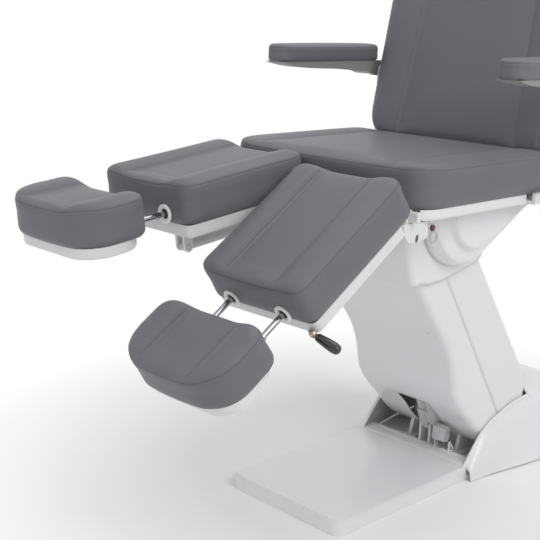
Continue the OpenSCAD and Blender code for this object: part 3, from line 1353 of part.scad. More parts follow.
// Gas spring along the underside of the calf tray
gas_z = -norm([gas_reach_y, gas_reach_z])*0.871;
gas_foot_y = calf_front + calf_l*0.18;
gas_body_r = 11;
gas_rod_r = 5;
gas_body_end = -norm([gas_reach_y, gas_reach_z])*1.49;
gas_slot = 9;
gas_slack = 2.5;
function gas_pin(side) =
    let (t = side > 0 ? left_leg_tilt : right_leg_tilt, y = gas_anchor_y + leg_hinge_ahead,
        z = gas_anchor_z + leg_hinge_drop)
    [y*cos(t) + z*sin(t), z*cos(t) - y*sin(t)];
module gas_spring_body(side) {
    color(motor_black) on_leg(side) translate([gas_x, 0, gas_z]) {
        difference() {
            union() {
                translate([0, gas_foot_y, 0]) xrod(gas_body_r*0.9, -eye_t*0.3, eye_t*0.3);
                translate([0, gas_foot_y + gas_body_r*1.3, 0]) rotate([-90, 0, 0])
                    cylinder(r = gas_body_r, h = gas_body_end - gas_foot_y - gas_body_r*1.3);
                translate([0, gas_foot_y, 0]) rotate([-90, 0, 0]) cylinder(r = gas_body_r*0.6,
                    h = gas_body_r*2);
            }
            translate([0, gas_foot_y, 0]) xrod(gas_pin_d/2 + run_gap, -eye_t, eye_t);
            translate([0, gas_foot_y + gas_body_r*2.5, 0]) rotate([-90, 0, 0])
                cylinder(r = gas_rod_r + run_gap, h = calf_l);
        }
        translate([0, gas_foot_y, 0]) shaft(gas_pin_d, eye_t/2 + move_gap + bracket_t/2 + seat_gap);
    }
}
module gas_spring_rod(side) {
    pin = gas_pin(side);
    back = pin[0] + gas_foot_y + gas_body_r*2.5 + move_gap + norm([gas_reach_y, gas_reach_z])*0.63;
    color(chrome) on_leg(side) translate([gas_x, 0, 0]) difference() {
        union() {
            translate([0, back, gas_z]) rotate([-90, 0, 0]) cylinder(r = gas_rod_r,
                h = pin[0] - gas_body_r - back);
            link_bar([pin[0], gas_z - gas_slot], [pin[0], gas_z + gas_slot], gas_body_r*2,
                -eye_t*0.3, eye_t*0.3);
        }
        link_bar([pin[0], gas_z - gas_slot], [pin[0], gas_z + gas_slot], gas_pin_d + gas_slack*2,
            -eye_t, eye_t);
    }
}

// Release lever of the gas spring at the outer front corner of the tray
lever_x = leg_gap + leg_w*0.925;
lever_y = calf_front + tray_in - seat_gap;
lever_z = calf_low - tray_h*0.86;
lever_drop = 9;
lever_arm = 24;
lever_bolt_r = 5;
grip_l = 52;
grip_r = 9;
module release_lever(side) {
    arm = lever_arm;
    bolt_r = lever_bolt_r;
    color(zinc) on_leg(side) translate([lever_x, lever_y, lever_z]) {
        difference() {
            union() {
                translate([0, -bolt_r*0.6, 0]) rotate([90, 0, 0]) cylinder(r = bolt_r*1.5,
                    h = bolt_r*1.2);
                rotate([0, lever_drop, 0]) block([0, -bolt_r*1.6, -bolt_r], [arm, -bolt_r*0.8, bolt_r]);
            }
            rotate([90, 0, 0]) cylinder(r = bolt_r*0.6 + run_gap, h = bolt_r*4);
        }
        rotate([90, 0, 0]) cylinder(r = bolt_r*0.6, h = bolt_r*2.4);
        translate([0, -bolt_r*1.9, 0]) rotate([90, 0, 0]) cylinder(r = bolt_r*1.2, h = bolt_r*0.9,
            $fn = 6);
    }
    color(motor_black) on_leg(side) translate([lever_x, lever_y - bolt_r*1.2, lever_z])
        rotate([0, lever_drop, 0]) translate([arm + seat_gap, 0, 0]) rotate([0, 90, 0]) rotate_extrude()
            polygon([[0, 0], [grip_r*0.72, 0], [grip_r*0.85, grip_l*0.1], [grip_r*1.1, grip_l*0.55],
                [grip_r*1.15, grip_l*0.8], [grip_r*0.95, grip_l*0.93], [grip_r*0.5, grip_l], [0,
                    grip_l]]);
}

base_plate();
base_foot_cover();
base_hood();
base_cheeks();
base_pivot_pins();
lift_actuator_bracket();
control_box();
power_inlet();
lift_arm();
column_front_shell();
column_rear_shell();
column_screws();
lift_rod_pin();
level_links();
lift_actuator_body();
lift_actuator_rod();
head_bracket();
head_pivot_pins();
head_cover();
tilt_shaft();
tilt_actuator_body();
tilt_actuator_rod();
seat_frame();
seat_pan();
seat_cushion();
hub_cover();  // left_hub_cover
mirror([1, 0, 0]) hub_cover();  // right_hub_cover
leg_hinge_plates();
seat_pivot_pins();
armrest_brackets();
back_actuator_body();
back_actuator_rod();
back_frame();
back_shell();
back_cushion();
headrest_guides();
headrest_rods();
headrest_cushion();
armrest_frame();  // left_armrest_frame
mirror([1, 0, 0]) armrest_frame();  // right_armrest_frame
armrest_pad();  // left_armrest_pad
mirror([1, 0, 0]) armrest_pad();  // right_armrest_pad
calf_tray(1);  // left_calf_tray
calf_tray(-1);  // right_calf_tray
calf_cushion(1);  // left_calf_cushion
calf_cushion(-1);  // right_calf_cushion
rod_flanges(1);  // left_rod_flanges
rod_flanges(-1);  // right_rod_flanges
gas_spring_body(1);  // left_gas_spring_body
gas_spring_body(-1);  // right_gas_spring_body
gas_spring_rod(1);  // left_gas_spring_rod
gas_spring_rod(-1);  // right_gas_spring_rod
release_lever(1);  // left_release_lever
release_lever(-1);  // right_release_lever
foot_rods(1);  // left_foot_rods
foot_rods(-1);  // right_foot_rods
foot_tray(1);  // left_foot_tray
foot_tray(-1);  // right_foot_tray
foot_cushion(1);  // left_foot_cushion
foot_cushion(-1);  // right_foot_cushion
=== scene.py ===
# %% [markdown]
# # A podiatry chair, dressed over its imported frame
# The frame holds every steel, plastic and upholstered piece at its real place, and its
# bodies move. This lesson gives each piece its finish, and makes the soft and curved ones
# anew as smooth surfaces. It starts by loading the frame.

# %% Load the frame
import json
import math
from dataclasses import dataclass
from functools import partialmethod

import bmesh
import bpy
import numpy as np
from mathutils import Matrix, Vector


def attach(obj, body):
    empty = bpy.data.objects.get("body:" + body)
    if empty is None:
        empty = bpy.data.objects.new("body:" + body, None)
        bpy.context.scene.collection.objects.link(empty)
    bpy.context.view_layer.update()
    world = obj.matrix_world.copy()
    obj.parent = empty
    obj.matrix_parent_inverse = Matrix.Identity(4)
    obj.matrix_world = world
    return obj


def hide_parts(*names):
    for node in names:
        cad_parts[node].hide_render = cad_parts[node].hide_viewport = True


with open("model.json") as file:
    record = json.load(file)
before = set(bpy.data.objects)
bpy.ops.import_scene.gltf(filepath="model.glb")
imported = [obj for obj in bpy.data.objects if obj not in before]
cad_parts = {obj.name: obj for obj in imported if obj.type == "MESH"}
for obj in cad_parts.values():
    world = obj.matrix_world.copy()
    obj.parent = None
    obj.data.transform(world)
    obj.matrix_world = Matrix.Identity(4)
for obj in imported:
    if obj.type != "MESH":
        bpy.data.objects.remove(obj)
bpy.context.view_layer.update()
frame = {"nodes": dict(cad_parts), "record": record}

# %% [markdown]
# # The camera
# The photograph was taken from the chair's front left, a little above the seat, with a
# moderate lens. The outlines of the cushions fix the camera's place and turn, so the
# camera is set from those fitted numbers rather than aimed by eye. Blender's camera looks
# along its own -Z with +Y up, so the three directions are the columns of its matrix.

# %% Place the camera
def photo_camera(place, yaw, pitch, roll, lens):
    """Looks forward and down by pitch, turned by yaw; the picture is then turned by roll."""
    a, e, r = (math.radians(v) for v in (yaw, pitch, roll))
    ahead = np.array([-math.sin(a)*math.cos(e), math.cos(a)*math.cos(e), -math.sin(e)])
    level = np.array([math.cos(a), math.sin(a), 0.0])
    low = -np.array([-math.sin(a)*math.sin(e), math.cos(a)*math.sin(e), math.cos(e)])
    right = math.cos(r)*level + math.sin(r)*low
    down = -math.sin(r)*level + math.cos(r)*low
    data = bpy.data.cameras.new("photo_camera")
    data.sensor_width = 36
    data.lens = lens
    camera = bpy.data.objects.new("photo_camera", data)
    bpy.context.scene.collection.objects.link(camera)
    turn = Matrix([[right[i], -down[i], -ahead[i]] for i in range(3)])
    camera.matrix_world = Matrix.Translation(place) @ turn.to_4x4()
    bpy.context.scene.camera = camera
    return camera


camera = photo_camera((1.6216, -2.0668, 1.1426), yaw=45.67, pitch=13.68, roll=-1.76, lens=71.6)
print("camera at", [round(v, 3) for v in camera.matrix_world.translation])

# %% [markdown]
# # Shader maths in plain Python
# A procedural finish is a sum of masks and noises. Wiring that by hand is slow to read, so
# one small class wraps a socket and turns + - * and / into Math nodes, in both orders. Any
# other node comes from `Wiring.add`, which gives it its settings, then the stops of its
# ramp, and then its sockets. A finish is such a wiring round one Principled shader.

# %% A socket that does arithmetic
class Signal:
    """A socket; arithmetic on it adds Math nodes to its tree, in both orders."""

    def __init__(self, wiring, socket):
        self.wiring, self.socket = wiring, socket

    def calc(self, operation, *others, clamp=False):
        return self.wiring.maths(operation, self, *others, clamp=clamp)

    def reflected(self, operation, other):
        return self.wiring.maths(operation, other, self)

    __add__ = __radd__ = partialmethod(calc, "ADD")
    __mul__ = __rmul__ = partialmethod(calc, "MULTIPLY")
    __sub__ = partialmethod(calc, "SUBTRACT")
    __rsub__ = partialmethod(reflected, "SUBTRACT")
    __truediv__ = partialmethod(calc, "DIVIDE")
    __rtruediv__ = partialmethod(reflected, "DIVIDE")

    def below(self, edge, blur):
        """1 where the value is under the edge, 0 above, with a soft step of width blur."""
        return ((edge - self)/blur + 0.5).calc("ADD", 0.0, clamp=True)

    def near(self, centre, half, blur):
        """1 within half of the centre, 0 outside it."""
        return (self - centre).calc("ABSOLUTE").below(half, blur)


class Wiring:
    """A node tree that starts empty, and short ways to add to it."""

    def __init__(self, tree):
        self.tree = tree
        tree.nodes.clear()

    def add(self, kind, settings=None, sockets=None, stops=()):
        node = self.tree.nodes.new(kind)
        for key, value in (settings or {}).items():
            setattr(node, key, value)
        for at, colour in stops:
            node.color_ramp.elements.new(at).color = colour
        for key, value in (sockets or {}).items():
            if isinstance(value, Signal):
                self.tree.links.new(value.socket, node.inputs[key])
            else:
                node.inputs[key].default_value = value
        return node

    def out(self, node, name=0):
        return Signal(self, node.outputs[name])

    def maths(self, operation, *values, clamp=False):
        settings = {"operation": operation, "use_clamp": clamp}
        return self.out(self.add("ShaderNodeMath", settings, dict(enumerate(values))))


class Finish(Wiring):
    """A material with one Principled shader, and short ways to vary it."""

    def __init__(self, name, constants):
        self.material = bpy.data.materials.new(name)
        self.material.use_nodes = True
        super().__init__(self.material.node_tree)
        self.shader = self.add("ShaderNodeBsdfPrincipled", {}, constants)
        self.end = self.add("ShaderNodeOutputMaterial", {}, {"Surface": self.out(self.shader)})
        self.place = self.out(self.add("ShaderNodeTexCoord"), "Object")

    def noise(self, scale, detail=3.0, stretch=(1, 1, 1)):
        """Noise of 0 to 1 on the object's own coordinates, in cells per metre."""
        turned = self.add("ShaderNodeMapping", {}, {"Vector": self.place, "Scale": stretch})
        return self.out(self.add("ShaderNodeTexNoise", {}, {
            "Vector": self.out(turned), "Scale": scale, "Detail": detail}))

    def blend(self, share, first, second):
        """Colour that goes from the first to the second as the share goes from 0 to 1."""
        sockets = {0: share, 6: first, 7: second}
        return self.out(self.add("ShaderNodeMix", {"data_type": "RGBA"}, sockets), 2)

    def read(self, attribute):
        return self.out(self.add("ShaderNodeAttribute", {"attribute_name": attribute}), "Fac")

    def bump(self, height, depth, over=None):
        """Normal from a height of 0 to 1 that stands for depth metres."""
        sockets = {"Height": height, "Distance": depth, "Strength": 1.0}
        if over:
            sockets["Normal"] = over
        return self.out(self.add("ShaderNodeBump", {}, sockets))

    def feed(self, colour, rough, normal):
        for name, signal in (("Base Color", colour), ("Roughness", rough), ("Normal", normal)):
            self.tree.links.new(signal.socket, self.shader.inputs[name])
        return self


def tone(red, green, blue):
    """Linear colour of a screen colour given as 0 to 255."""
    share = np.array([red, green, blue])/255
    linear = np.where(share < 0.04045, share/12.92, ((share + 0.055)/1.055)**2.4)
    return (*linear.tolist(), 1.0)


print("shader helpers ready")

# %% [markdown]
# # Leatherette
# The covers are a smooth grey leatherette: a vinyl skin with a very fine pebble grain and a
# soft sheen. The sewn folds are darkened in colour as painted shade, the stitches are painted
# lighter as a painted highlight, and the needle holes between them darker as painted shade.
# The grain could be a picture, but a fine noise on Object coordinates has no seams and needs
# no unwrapping. The stitches follow the sewn lines through attributes that each cushion
# carries: its distance from the lines, the length along them, and how strongly they show.

# %% Leatherette finish
SEAM_HALF = 0.0011       # metres, half the width of the sewn fold
STITCH_OFF = 0.0034      # from the fold to the row of stitches
STITCH_PITCH = 0.0046    # from one stitch to the next


def make_leatherette():
    skin = Finish("leatherette", {"Specular IOR Level": 0.2, "Sheen Weight": 0.03,
                                  "Sheen Roughness": 0.4})
    cloudy = skin.noise(7.0, 2.0)
    pebble = skin.noise(1500.0, 2.0)
    fine = skin.noise(420.0, 3.0)
    colour = skin.blend(cloudy, tone(110, 111, 115), tone(117, 118, 122))
    colour = skin.blend(pebble.below(0.42, 0.2)*0.16, colour, tone(92, 93, 96))
    line = skin.read("sewn_off")
    run = skin.read("sewn_run")
    weight = skin.read("sewn_weight")
    groove = line.near(0.0, SEAM_HALF, 0.0009)*weight
    # Painted shade: the sewn fold is darkened in colour as the shade in its crease.
    colour = skin.blend(groove*0.8, colour, tone(60, 60, 63))
    beat = (run/STITCH_PITCH).calc("FRACT").near(0.5, 0.36, 0.12)
    row = line.near(STITCH_OFF, 0.00042, 0.0003)*weight
    stitch = row*beat
    hole = row*(1 - beat)
    # Painted highlight: the stitches are lighter than the leather; painted shade: the needle holes
    # between them are darker.
    colour = skin.blend(stitch*0.5, colour, tone(138, 139, 143))
    colour = skin.blend(hole*0.6, colour, tone(56, 56, 58))
    rough = 0.37 + fine*0.12 + pebble*0.05
    grain = skin.bump(pebble*0.6 + fine*0.4, 0.00009)
    sewn = skin.bump(stitch - groove*0.4 - hole*0.5 + 1.0, 0.0005, grain)
    return skin.feed(colour, rough, sewn)


leatherette = make_leatherette()
print("leatherette:", len(leatherette.tree.nodes), "nodes")

# %% [markdown]
# # Paints, plastics and metals
# The covers are white moulded plastic with a soft gloss, the trays and plates are white
# powder coat with a fine orange peel, the hidden frame is grey paint, the rods are chrome,
# and the bolts are zinc with a faint rainbow tint. They differ only in tone, gloss and
# texture, so one function makes them all: clouds vary the tone, a fine noise gives the
# surface, and faint streaks stand for wiping and handling.

# %% Hard finishes
STREAK = 0.05        # how far wiping and clouds move the roughness


def make_hard(name, pale, dark, rough, cells, depth, metal=0.0, coat=0.0):
    """Two tones, the roughness, noise in cells per metre, and its depth in metres."""
    hard = Finish(name, {"Metallic": metal, "Coat Weight": coat, "Coat Roughness": 0.12})
    cloud = hard.noise(5.0, 3.0)
    wipe = hard.noise(30.0, 4.0, (1, 1, 0.12))
    skin = hard.noise(cells, 2.0)
    colour = hard.blend(cloud*0.6 + wipe*0.4, tone(*pale), tone(*dark))
    shine = rough + (wipe - 0.5)*STREAK + (cloud - 0.5)*STREAK
    return hard.feed(colour, shine, hard.bump(skin, depth))


(gloss_white, powder_white, grey_paint, black_plastic, black_gloss, chrome, ring_white,
 light_grey, arm_grey, hole_shade_grey, rust_bolt) = (make_hard(*row) for row in (
     ("gloss_white", (233, 233, 234), (227, 227, 229), 0.3, 260, 0.00006, 0.0, 0.15),
     ("powder_white", (229, 229, 229), (222, 222, 223), 0.45, 900, 0.00008),
     ("grey_paint", (168, 169, 172), (156, 157, 160), 0.5, 700, 0.00008),
     ("black_plastic", (30, 30, 31), (22, 22, 23), 0.5, 900, 0.00007),
     ("black_gloss", (17, 17, 18), (12, 12, 13), 0.16, 300, 0.00003, 0.0, 0.6),
     ("chrome", (176, 177, 181), (150, 151, 156), 0.1, 600, 0.00001, 1.0),
     ("ring_white", (247, 247, 247), (242, 242, 243), 0.3, 260, 0.00004),
     ("light_grey", (196, 197, 199), (186, 187, 189), 0.42, 900, 0.00006),
     ("arm_grey", (150, 149, 147), (140, 139, 138), 0.5, 700, 0.00008),
     # Painted shade: the dark grey of the disc that stands for the gusset's hole.
     ("hole_shade_grey", (96, 97, 99), (84, 85, 88), 0.6, 700, 0.00005),
     ("rust_bolt", (112, 84, 80), (96, 74, 72), 0.4, 900, 0.00005, 0.6)))
print("hard finishes made")

# %% [markdown]
# # Zinc with a rainbow tint
# Fresh zinc plating on bolts shows a thin film of yellow, pink and green. Real thin-film
# optics would need the view's angle, so the tint is a slow noise through a colour ramp
# instead, which stays on the metal from every side.

# %% Zinc finish
FILM = ((0.3, (176, 170, 150)), (0.45, (186, 168, 128)), (0.55, (170, 150, 152)),
        (0.7, (150, 168, 150)))


def make_zinc():
    zinc = Finish("zinc", {"Metallic": 1.0})
    film = zinc.add("ShaderNodeValToRGB", {}, {0: zinc.noise(55.0, 2.0)},
                    [(at, tone(*colour)) for at, colour in FILM])
    skin = zinc.noise(800.0, 2.0)
    return zinc.feed(zinc.out(film), 0.28 + skin*0.14, zinc.bump(skin, 0.00003))


zinc = make_zinc()
print("zinc made")

# %% [markdown]
# # Finishes for the frame's own pieces
# Pieces whose shape is already right keep their mesh and only take a finish. Each record
# slot stands for one finish, so a table from slot to finish dresses most of them. A second
# table names the few whose tone in the photograph differs from their slot's.

# %% Dress the frame
slot_finish = {"leatherette": leatherette, "white_cover": gloss_white,
               "white_frame": powder_white, "steel_frame": grey_paint, "chrome": chrome,
               "zinc": zinc, "black_plastic": black_plastic}
own_finish = {"base_plate": powder_white, "base_cheeks": powder_white,
              "lift_actuator_bracket": powder_white, "lift_actuator_body": light_grey,
              "left_gas_spring_body": light_grey, "right_gas_spring_body": light_grey,
              "left_armrest_frame": arm_grey, "right_armrest_frame": arm_grey}
for piece_slot in frame["record"]["subparts"]:
    node = piece_slot["node"]
    finish = own_finish.get(node, slot_finish[piece_slot["material_slot"]])
    for holder in frame["nodes"][node].material_slots:
        holder.material = finish.material
print("dressed", len(frame["nodes"]), "nodes")

# %% [markdown]
# # Places on the chair
# Every piece is drawn in its own simple frame and then carried to the chair: the seat's
# frame is level, the back's and the arm's lean, and each leg's hangs from its hinge. All of
# them are a turn about the X axis and a shift, so one maker of functions serves them. The
# lengths are in millimetres until then.

# %% Carry points from a piece's frame to the chair
MM = 0.001
SIDES = ((1, "left"), (-1, "right"))
MIRROR = np.array([-1, 1, 1])
ARM_LEAN, ARM_LENGTH = 35.5, 545.0
PIVOT_Y, PIVOT_Z = 216.0, 180.0              # the arm's lower pins
HEAD_Y = PIVOT_Y - ARM_LENGTH*math.sin(math.radians(ARM_LEAN))
HEAD_Z = PIVOT_Z + ARM_LENGTH*math.cos(math.radians(ARM_LEAN))
HUB_Y, HUB_Z = 297.0, -134.0                 # the tilt shaft, in the seat's frame
SEAT_Y = HEAD_Y + 47.5 - HUB_Y               # the shaft is behind and above the head's pins
SEAT_Z = HEAD_Z + 82.3 - HUB_Z
BACK_ANGLE = 78.0
LEG_TILT = {1: 33.6, -1: 7.0}


def carrier(y, z, turn=0.0):
    """Function that turns points about X, shifts them, and mirrors them for the right side."""
    def carry(points, side=1):
        a = math.radians(turn[side] if isinstance(turn, dict) else turn)
        p = np.asarray(points, float)
        return MM*points_of(p[..., 0]*side, y + p[..., 1]*math.cos(a) - p[..., 2]*math.sin(a),
                            z + p[..., 1]*math.sin(a) + p[..., 2]*math.cos(a))
    return carry


def points_of(x, y, z):
    """Points from three arrays, each spread to the shape of all three."""
    return np.stack(np.broadcast_arrays(x, y, z), -1)


on_chair, on_seat = carrier(0, 0), carrier(SEAT_Y, SEAT_Z)
on_back = carrier(SEAT_Y + 525, SEAT_Z - 40, BACK_ANGLE)
on_leg = carrier(SEAT_Y - 22, SEAT_Z - 110, LEG_TILT)
on_arm = carrier(PIVOT_Y, PIVOT_Z, ARM_LEAN)
print("seat at y", round(SEAT_Y), "z", round(SEAT_Z))

# %% [markdown]
# # Sheets of points into one mesh
# A curved cover is a few sheets of points whose borders coincide. Each sheet is a grid, so
# its faces follow from its size. `sew_sheets` gives points at the same place one number,
# drops the faces that a mask leaves out, and turns squares with a doubled corner into
# triangles, all on whole arrays. It then hangs the new piece on its body, gives it its
# finish, and hides the node of the frame that it stands for.

# %% Build a mesh from sheets
COVER_WALL = 0.003       # metres, wall of the moulded covers


def soft_step(t):
    """0 to 1 with level ends: three squares less two cubes of the clipped value."""
    t = np.clip(t, 0, 1)
    return t*t*(3 - 2*t)


def sheet_faces(rows, cols, keep=None):
    """Four corners of each square of a grid, as numbers of its points."""
    r, c = np.meshgrid(np.arange(rows - 1), np.arange(cols - 1), indexing="ij")
    first = r*cols + c
    faces = np.stack([first, first + 1, first + cols + 1, first + cols], -1)
    return faces[keep] if keep is not None else faces.reshape(-1, 4)


def sew_sheets(name, sheets, body, finish, replaced=None, outward=None, wall=0.0,
               edge=35.0):
    """Joins grids of points in metres, alone or as (points, mask of faces), into a piece."""
    points, faces, start = [], [], 0
    for sheet in sheets:
        sheet, keep = sheet if isinstance(sheet, tuple) else (sheet, None)
        points.append(sheet.reshape(-1, 3))
        faces.append(sheet_faces(*sheet.shape[:2], keep) + start)
        start += len(points[-1])
    points, faces = np.concatenate(points), np.concatenate(faces)
    _, first, same = np.unique(np.round(points/2e-5).astype(np.int64), axis=0,
                               return_index=True, return_inverse=True)
    faces = same.reshape(-1)[faces]
    doubled = faces == np.roll(faces, -1, axis=1)
    quads = faces[doubled.sum(1) == 0]
    pinched = faces[doubled.sum(1) == 1]
    lone = np.argmax(pinched == np.roll(pinched, -1, axis=1), axis=1)
    triangles = np.take_along_axis(pinched, (lone[:, None] + np.array([1, 2, 3])) % 4, axis=1)
    mesh = bpy.data.meshes.new(name)
    mesh.from_pydata(points[first].tolist(), [], quads.tolist() + triangles.tolist())
    mesh.update()
    turn_outward(mesh, outward)
    piece = finish_piece(name, mesh, body, finish, wall, edge)
    if replaced:
        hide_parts(replaced)
    print(name + ":", len(mesh.polygons), "faces")
    return piece


def read_all(items, key):
    """One vector of each item of a mesh, as rows."""
    values = np.empty(len(items)*3)
    items.foreach_get(key, values)
    return values.reshape(-1, 3)


def turn_outward(mesh, inside):
    """Makes the faces agree, then turns them all if most look towards the inside point."""
    work = bmesh.new()
    work.from_mesh(mesh)
    bmesh.ops.recalc_face_normals(work, faces=work.faces)
    work.to_mesh(mesh)
    work.free()
    normal, centre = read_all(mesh.polygons, "normal"), read_all(mesh.polygons, "center")
    area = np.empty(len(centre))
    mesh.polygons.foreach_get("area", area)
    inside = centre.mean(0) if inside is None else np.asarray(inside)
    if ((normal*(centre - inside)).sum(1)*area).sum() < 0:
        mesh.flip_normals()


def finish_piece(name, mesh, body, finish, wall=0.0, edge=None):
    """Shades a mesh smoothly up to an edge angle, gives it a wall and hangs it on a body."""
    mesh.polygons.foreach_set("use_smooth", np.ones(len(mesh.polygons), bool))
    if edge:
        mesh.set_sharp_from_angle(angle=math.radians(edge))
    mesh.materials.append(finish.material)
    piece = bpy.data.objects.new(name, mesh)
    bpy.context.scene.collection.objects.link(piece)
    if wall:
        thick = piece.modifiers.new("wall", "SOLIDIFY")
        thick.thickness = wall
        thick.offset = -1
        thick.use_even_offset = False
    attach(piece, body)
    return piece


print("sheet builder ready")

# %% [markdown]
# # The cushions
# Each cushion is foam on a board under a sewn cover: a top panel with raised side bolsters
# and a dished middle, a side band, a seam all round just below the top edge, and two
# lengthwise seams. A voxel remesh would erase the seams, so the cover is a grid whose rows
# already lie on the seams. Blender's cloth then blows it up with the seam rows pinned, so
# the panels swell between them, and a cap keeps each point close to its pattern. The sewn
# grooves are pressed in last, once a subdivision has made the mesh fine enough. The armrest
# pads are drawn the same way without lengthwise seams.

# %% The outline and the height of a cushion
@dataclass
class Pad:
    """A cushion in millimetres; pairs are front and rear."""
    size: tuple              # width, length, thickness
    at: tuple                # its corner's shift in the frame it is drawn in
    corner: tuple
    bow: tuple = (0, 0)
    dish: tuple = (0, 0)
    seam: float = 73         # of the lengthwise seams, from the middle
    groove: float = 6        # width of the valley along those seams
    soft: float = 32         # how far in from the edge the top starts to roll over
    crown: float = 3         # swell of the top
    depth: float = 2.0       # of the pressed grooves
    taper: float = 0.0       # how much the seams run together
    sewn: bool = True


DISH_LEAST = 0.3         # share of the dish's depth that is left at the front edge
DISH_RUN = 64            # the dish reaches its whole depth over this way


def edge_line(x, width, corner, bow, inset):
    """Front or rear edge: an arc of the corner radius at each end, and a slight bow."""
    half = width/2 - inset
    r = max(corner - inset, corner/4)
    past = np.maximum(0, np.abs(x) - (half - r))
    return inset + bow*(x/half)**2 + r - np.sqrt(np.maximum(0, r*r - past*past))


def place_on_pad(u, v, c, inset):
    """Point at share u of the half width and share v of the length, inside the outline."""
    x = (c.size[0]/2 - inset)*u
    y0 = edge_line(x, c.size[0], c.corner[0], c.bow[0], inset)
    y1 = c.size[1] - edge_line(x, c.size[0], c.corner[1], c.bow[1], inset)
    return x, y0 + v*(y1 - y0)


def pad_height(x, y, c):
    """Thickness, less a dish between the seams, plus a crown that fades at the edges."""
    width, length, thick = c.size
    soft, seam, groove = c.soft, c.seam, c.groove
    middle = 1 - soft_step((np.abs(x) - seam*0.55)/(seam*0.9))
    along = y/length
    ends = soft_step(y/soft)*soft_step((length - y)/soft)
    deepening = DISH_LEAST + (1 - DISH_LEAST)*soft_step((y + 12)/DISH_RUN)
    dish = (c.dish[0]*(1 - along) + c.dish[1]*along)*deepening
    crown = c.crown*ends*soft_step((width/2 - np.abs(x))/soft)
    valley = groove*0.6*np.exp(-((np.abs(x) - seam)/(groove*2.2))**2)*ends
    return thick - dish*middle + crown - valley


def merged(*lists, gap=1.1):
    """Sorted places from several lists; the first lists win where two come too close."""
    kept = np.array(sorted(lists[0]))
    for extra in lists[1:]:
        extra = np.asarray(extra, float)
        far = np.abs(extra[:, None] - kept[None, :]).min(1) > gap
        kept = np.sort(np.concatenate([kept, extra[far]]))
    return kept


def across_shares(c, step=7.0):
    """Columns of the top grid: close beside the seams, and on an arc's sine at the corners."""
    half = c.size[0]/2
    corner = max(c.corner)
    beside = c.seam + np.array([-8, -4.6, -2.4, -1, 0, 1, 2.4, 4.6, 8])
    if not c.sewn:
        beside = np.array([c.seam])
    arc = half - corner + corner*np.sin(np.linspace(0.15, math.pi/2, 11))
    places = merged([0.0, half], beside, arc, np.arange(step, half, step), gap=2.2)
    if c.sewn:
        places = merged(beside, places, gap=1.0)
        places = np.unique(np.concatenate([places[places < half - 0.5], [half]]))
    return np.concatenate([-places[:0:-1], places])/half


def along_shares(c, step=7.5):
    """Rows of the top grid, closer together at the front and the rear."""
    ends = np.array([0, 0.006, 0.016, 0.03, 0.05])
    count = max(6, int(c.size[1]/step))
    inner = np.linspace(0.07, 0.93, count)
    return np.concatenate([ends, inner, 1 - ends[::-1]])


print("cushion outline ready")

# %% [markdown]
# # The cover as three joined sheets
# The wall's profile runs from the tucked lower edge almost straight up to the seam, and
# rolls over into the top. Its points come from a smooth curve through a few heights and
# insets. The top and the board below are grids with the same border. Each point carries
# three numbers for the leatherette: how far it is from the sewn line, how far along that
# line it lies, and how strongly the line shows.

# %% The cover of a cushion
SEAM_ROW = 14        # row of the side band that lies on the seam round the top edge
EDGE_SEAM = 0.42     # how strongly that seam shows, beside the lengthwise ones
FAR = 99.0           # distance given to points that are on no sewn line


def run_along(line):
    """Distance along a line, from its first point to each of its points."""
    return np.concatenate([[0], np.cumsum(np.linalg.norm(np.diff(line, axis=0), axis=1))])


def smooth_path(knots, count):
    """Curve through the knots, with slopes taken from their neighbours (cubic Hermite)."""
    k = np.asarray(knots, float)
    t = run_along(k)
    slope = np.gradient(k, t, axis=0)
    at = np.linspace(0, t[-1], count)
    i = np.clip(np.searchsorted(t, at, "right") - 1, 0, len(t) - 2)
    h = t[i + 1] - t[i]
    s = ((at - t[i])/h)[:, None]
    h = h[:, None]
    return ((2*s**3 - 3*s**2 + 1)*k[i] + (s**3 - 2*s**2 + s)*h*slope[i]
            + (3*s**2 - 2*s**3)*k[i + 1] + (s**3 - s**2)*h*slope[i + 1])


def wall_rows(thick, soft):
    """Heights and insets of the side band, and how far each is below the seam."""
    r = soft/2
    low = smooth_path([[0, r*0.5], [r*0.35, r*0.12], [thick*0.3, 0], [thick*0.55, r*0.05],
                       [thick - r*1.25, 0], [thick - r*0.62, r*0.06]], SEAM_ROW + 1)
    roll = smooth_path([[thick - r*0.62, r*0.06], [thick - r*0.3, r*0.28],
                        [thick - r*0.1, r*0.62], [thick, r]], 7)[1:]
    rows = np.concatenate([low, roll])
    run = run_along(rows)
    return rows, run - run[SEAM_ROW]


def border_of(nu, nv):
    """Numbers of a grid's border points, once round, from the middle of the rear edge."""
    i, j = np.arange(nu), np.arange(nv)
    ring = np.concatenate([i[:-1], (nu - 1) + nu*j[:-1], (nv - 1)*nu + i[:0:-1], nu*j[:0:-1]])
    start = (nu - 1) + (nv - 1) + (nu - 1)//2
    return np.roll(ring, -start)


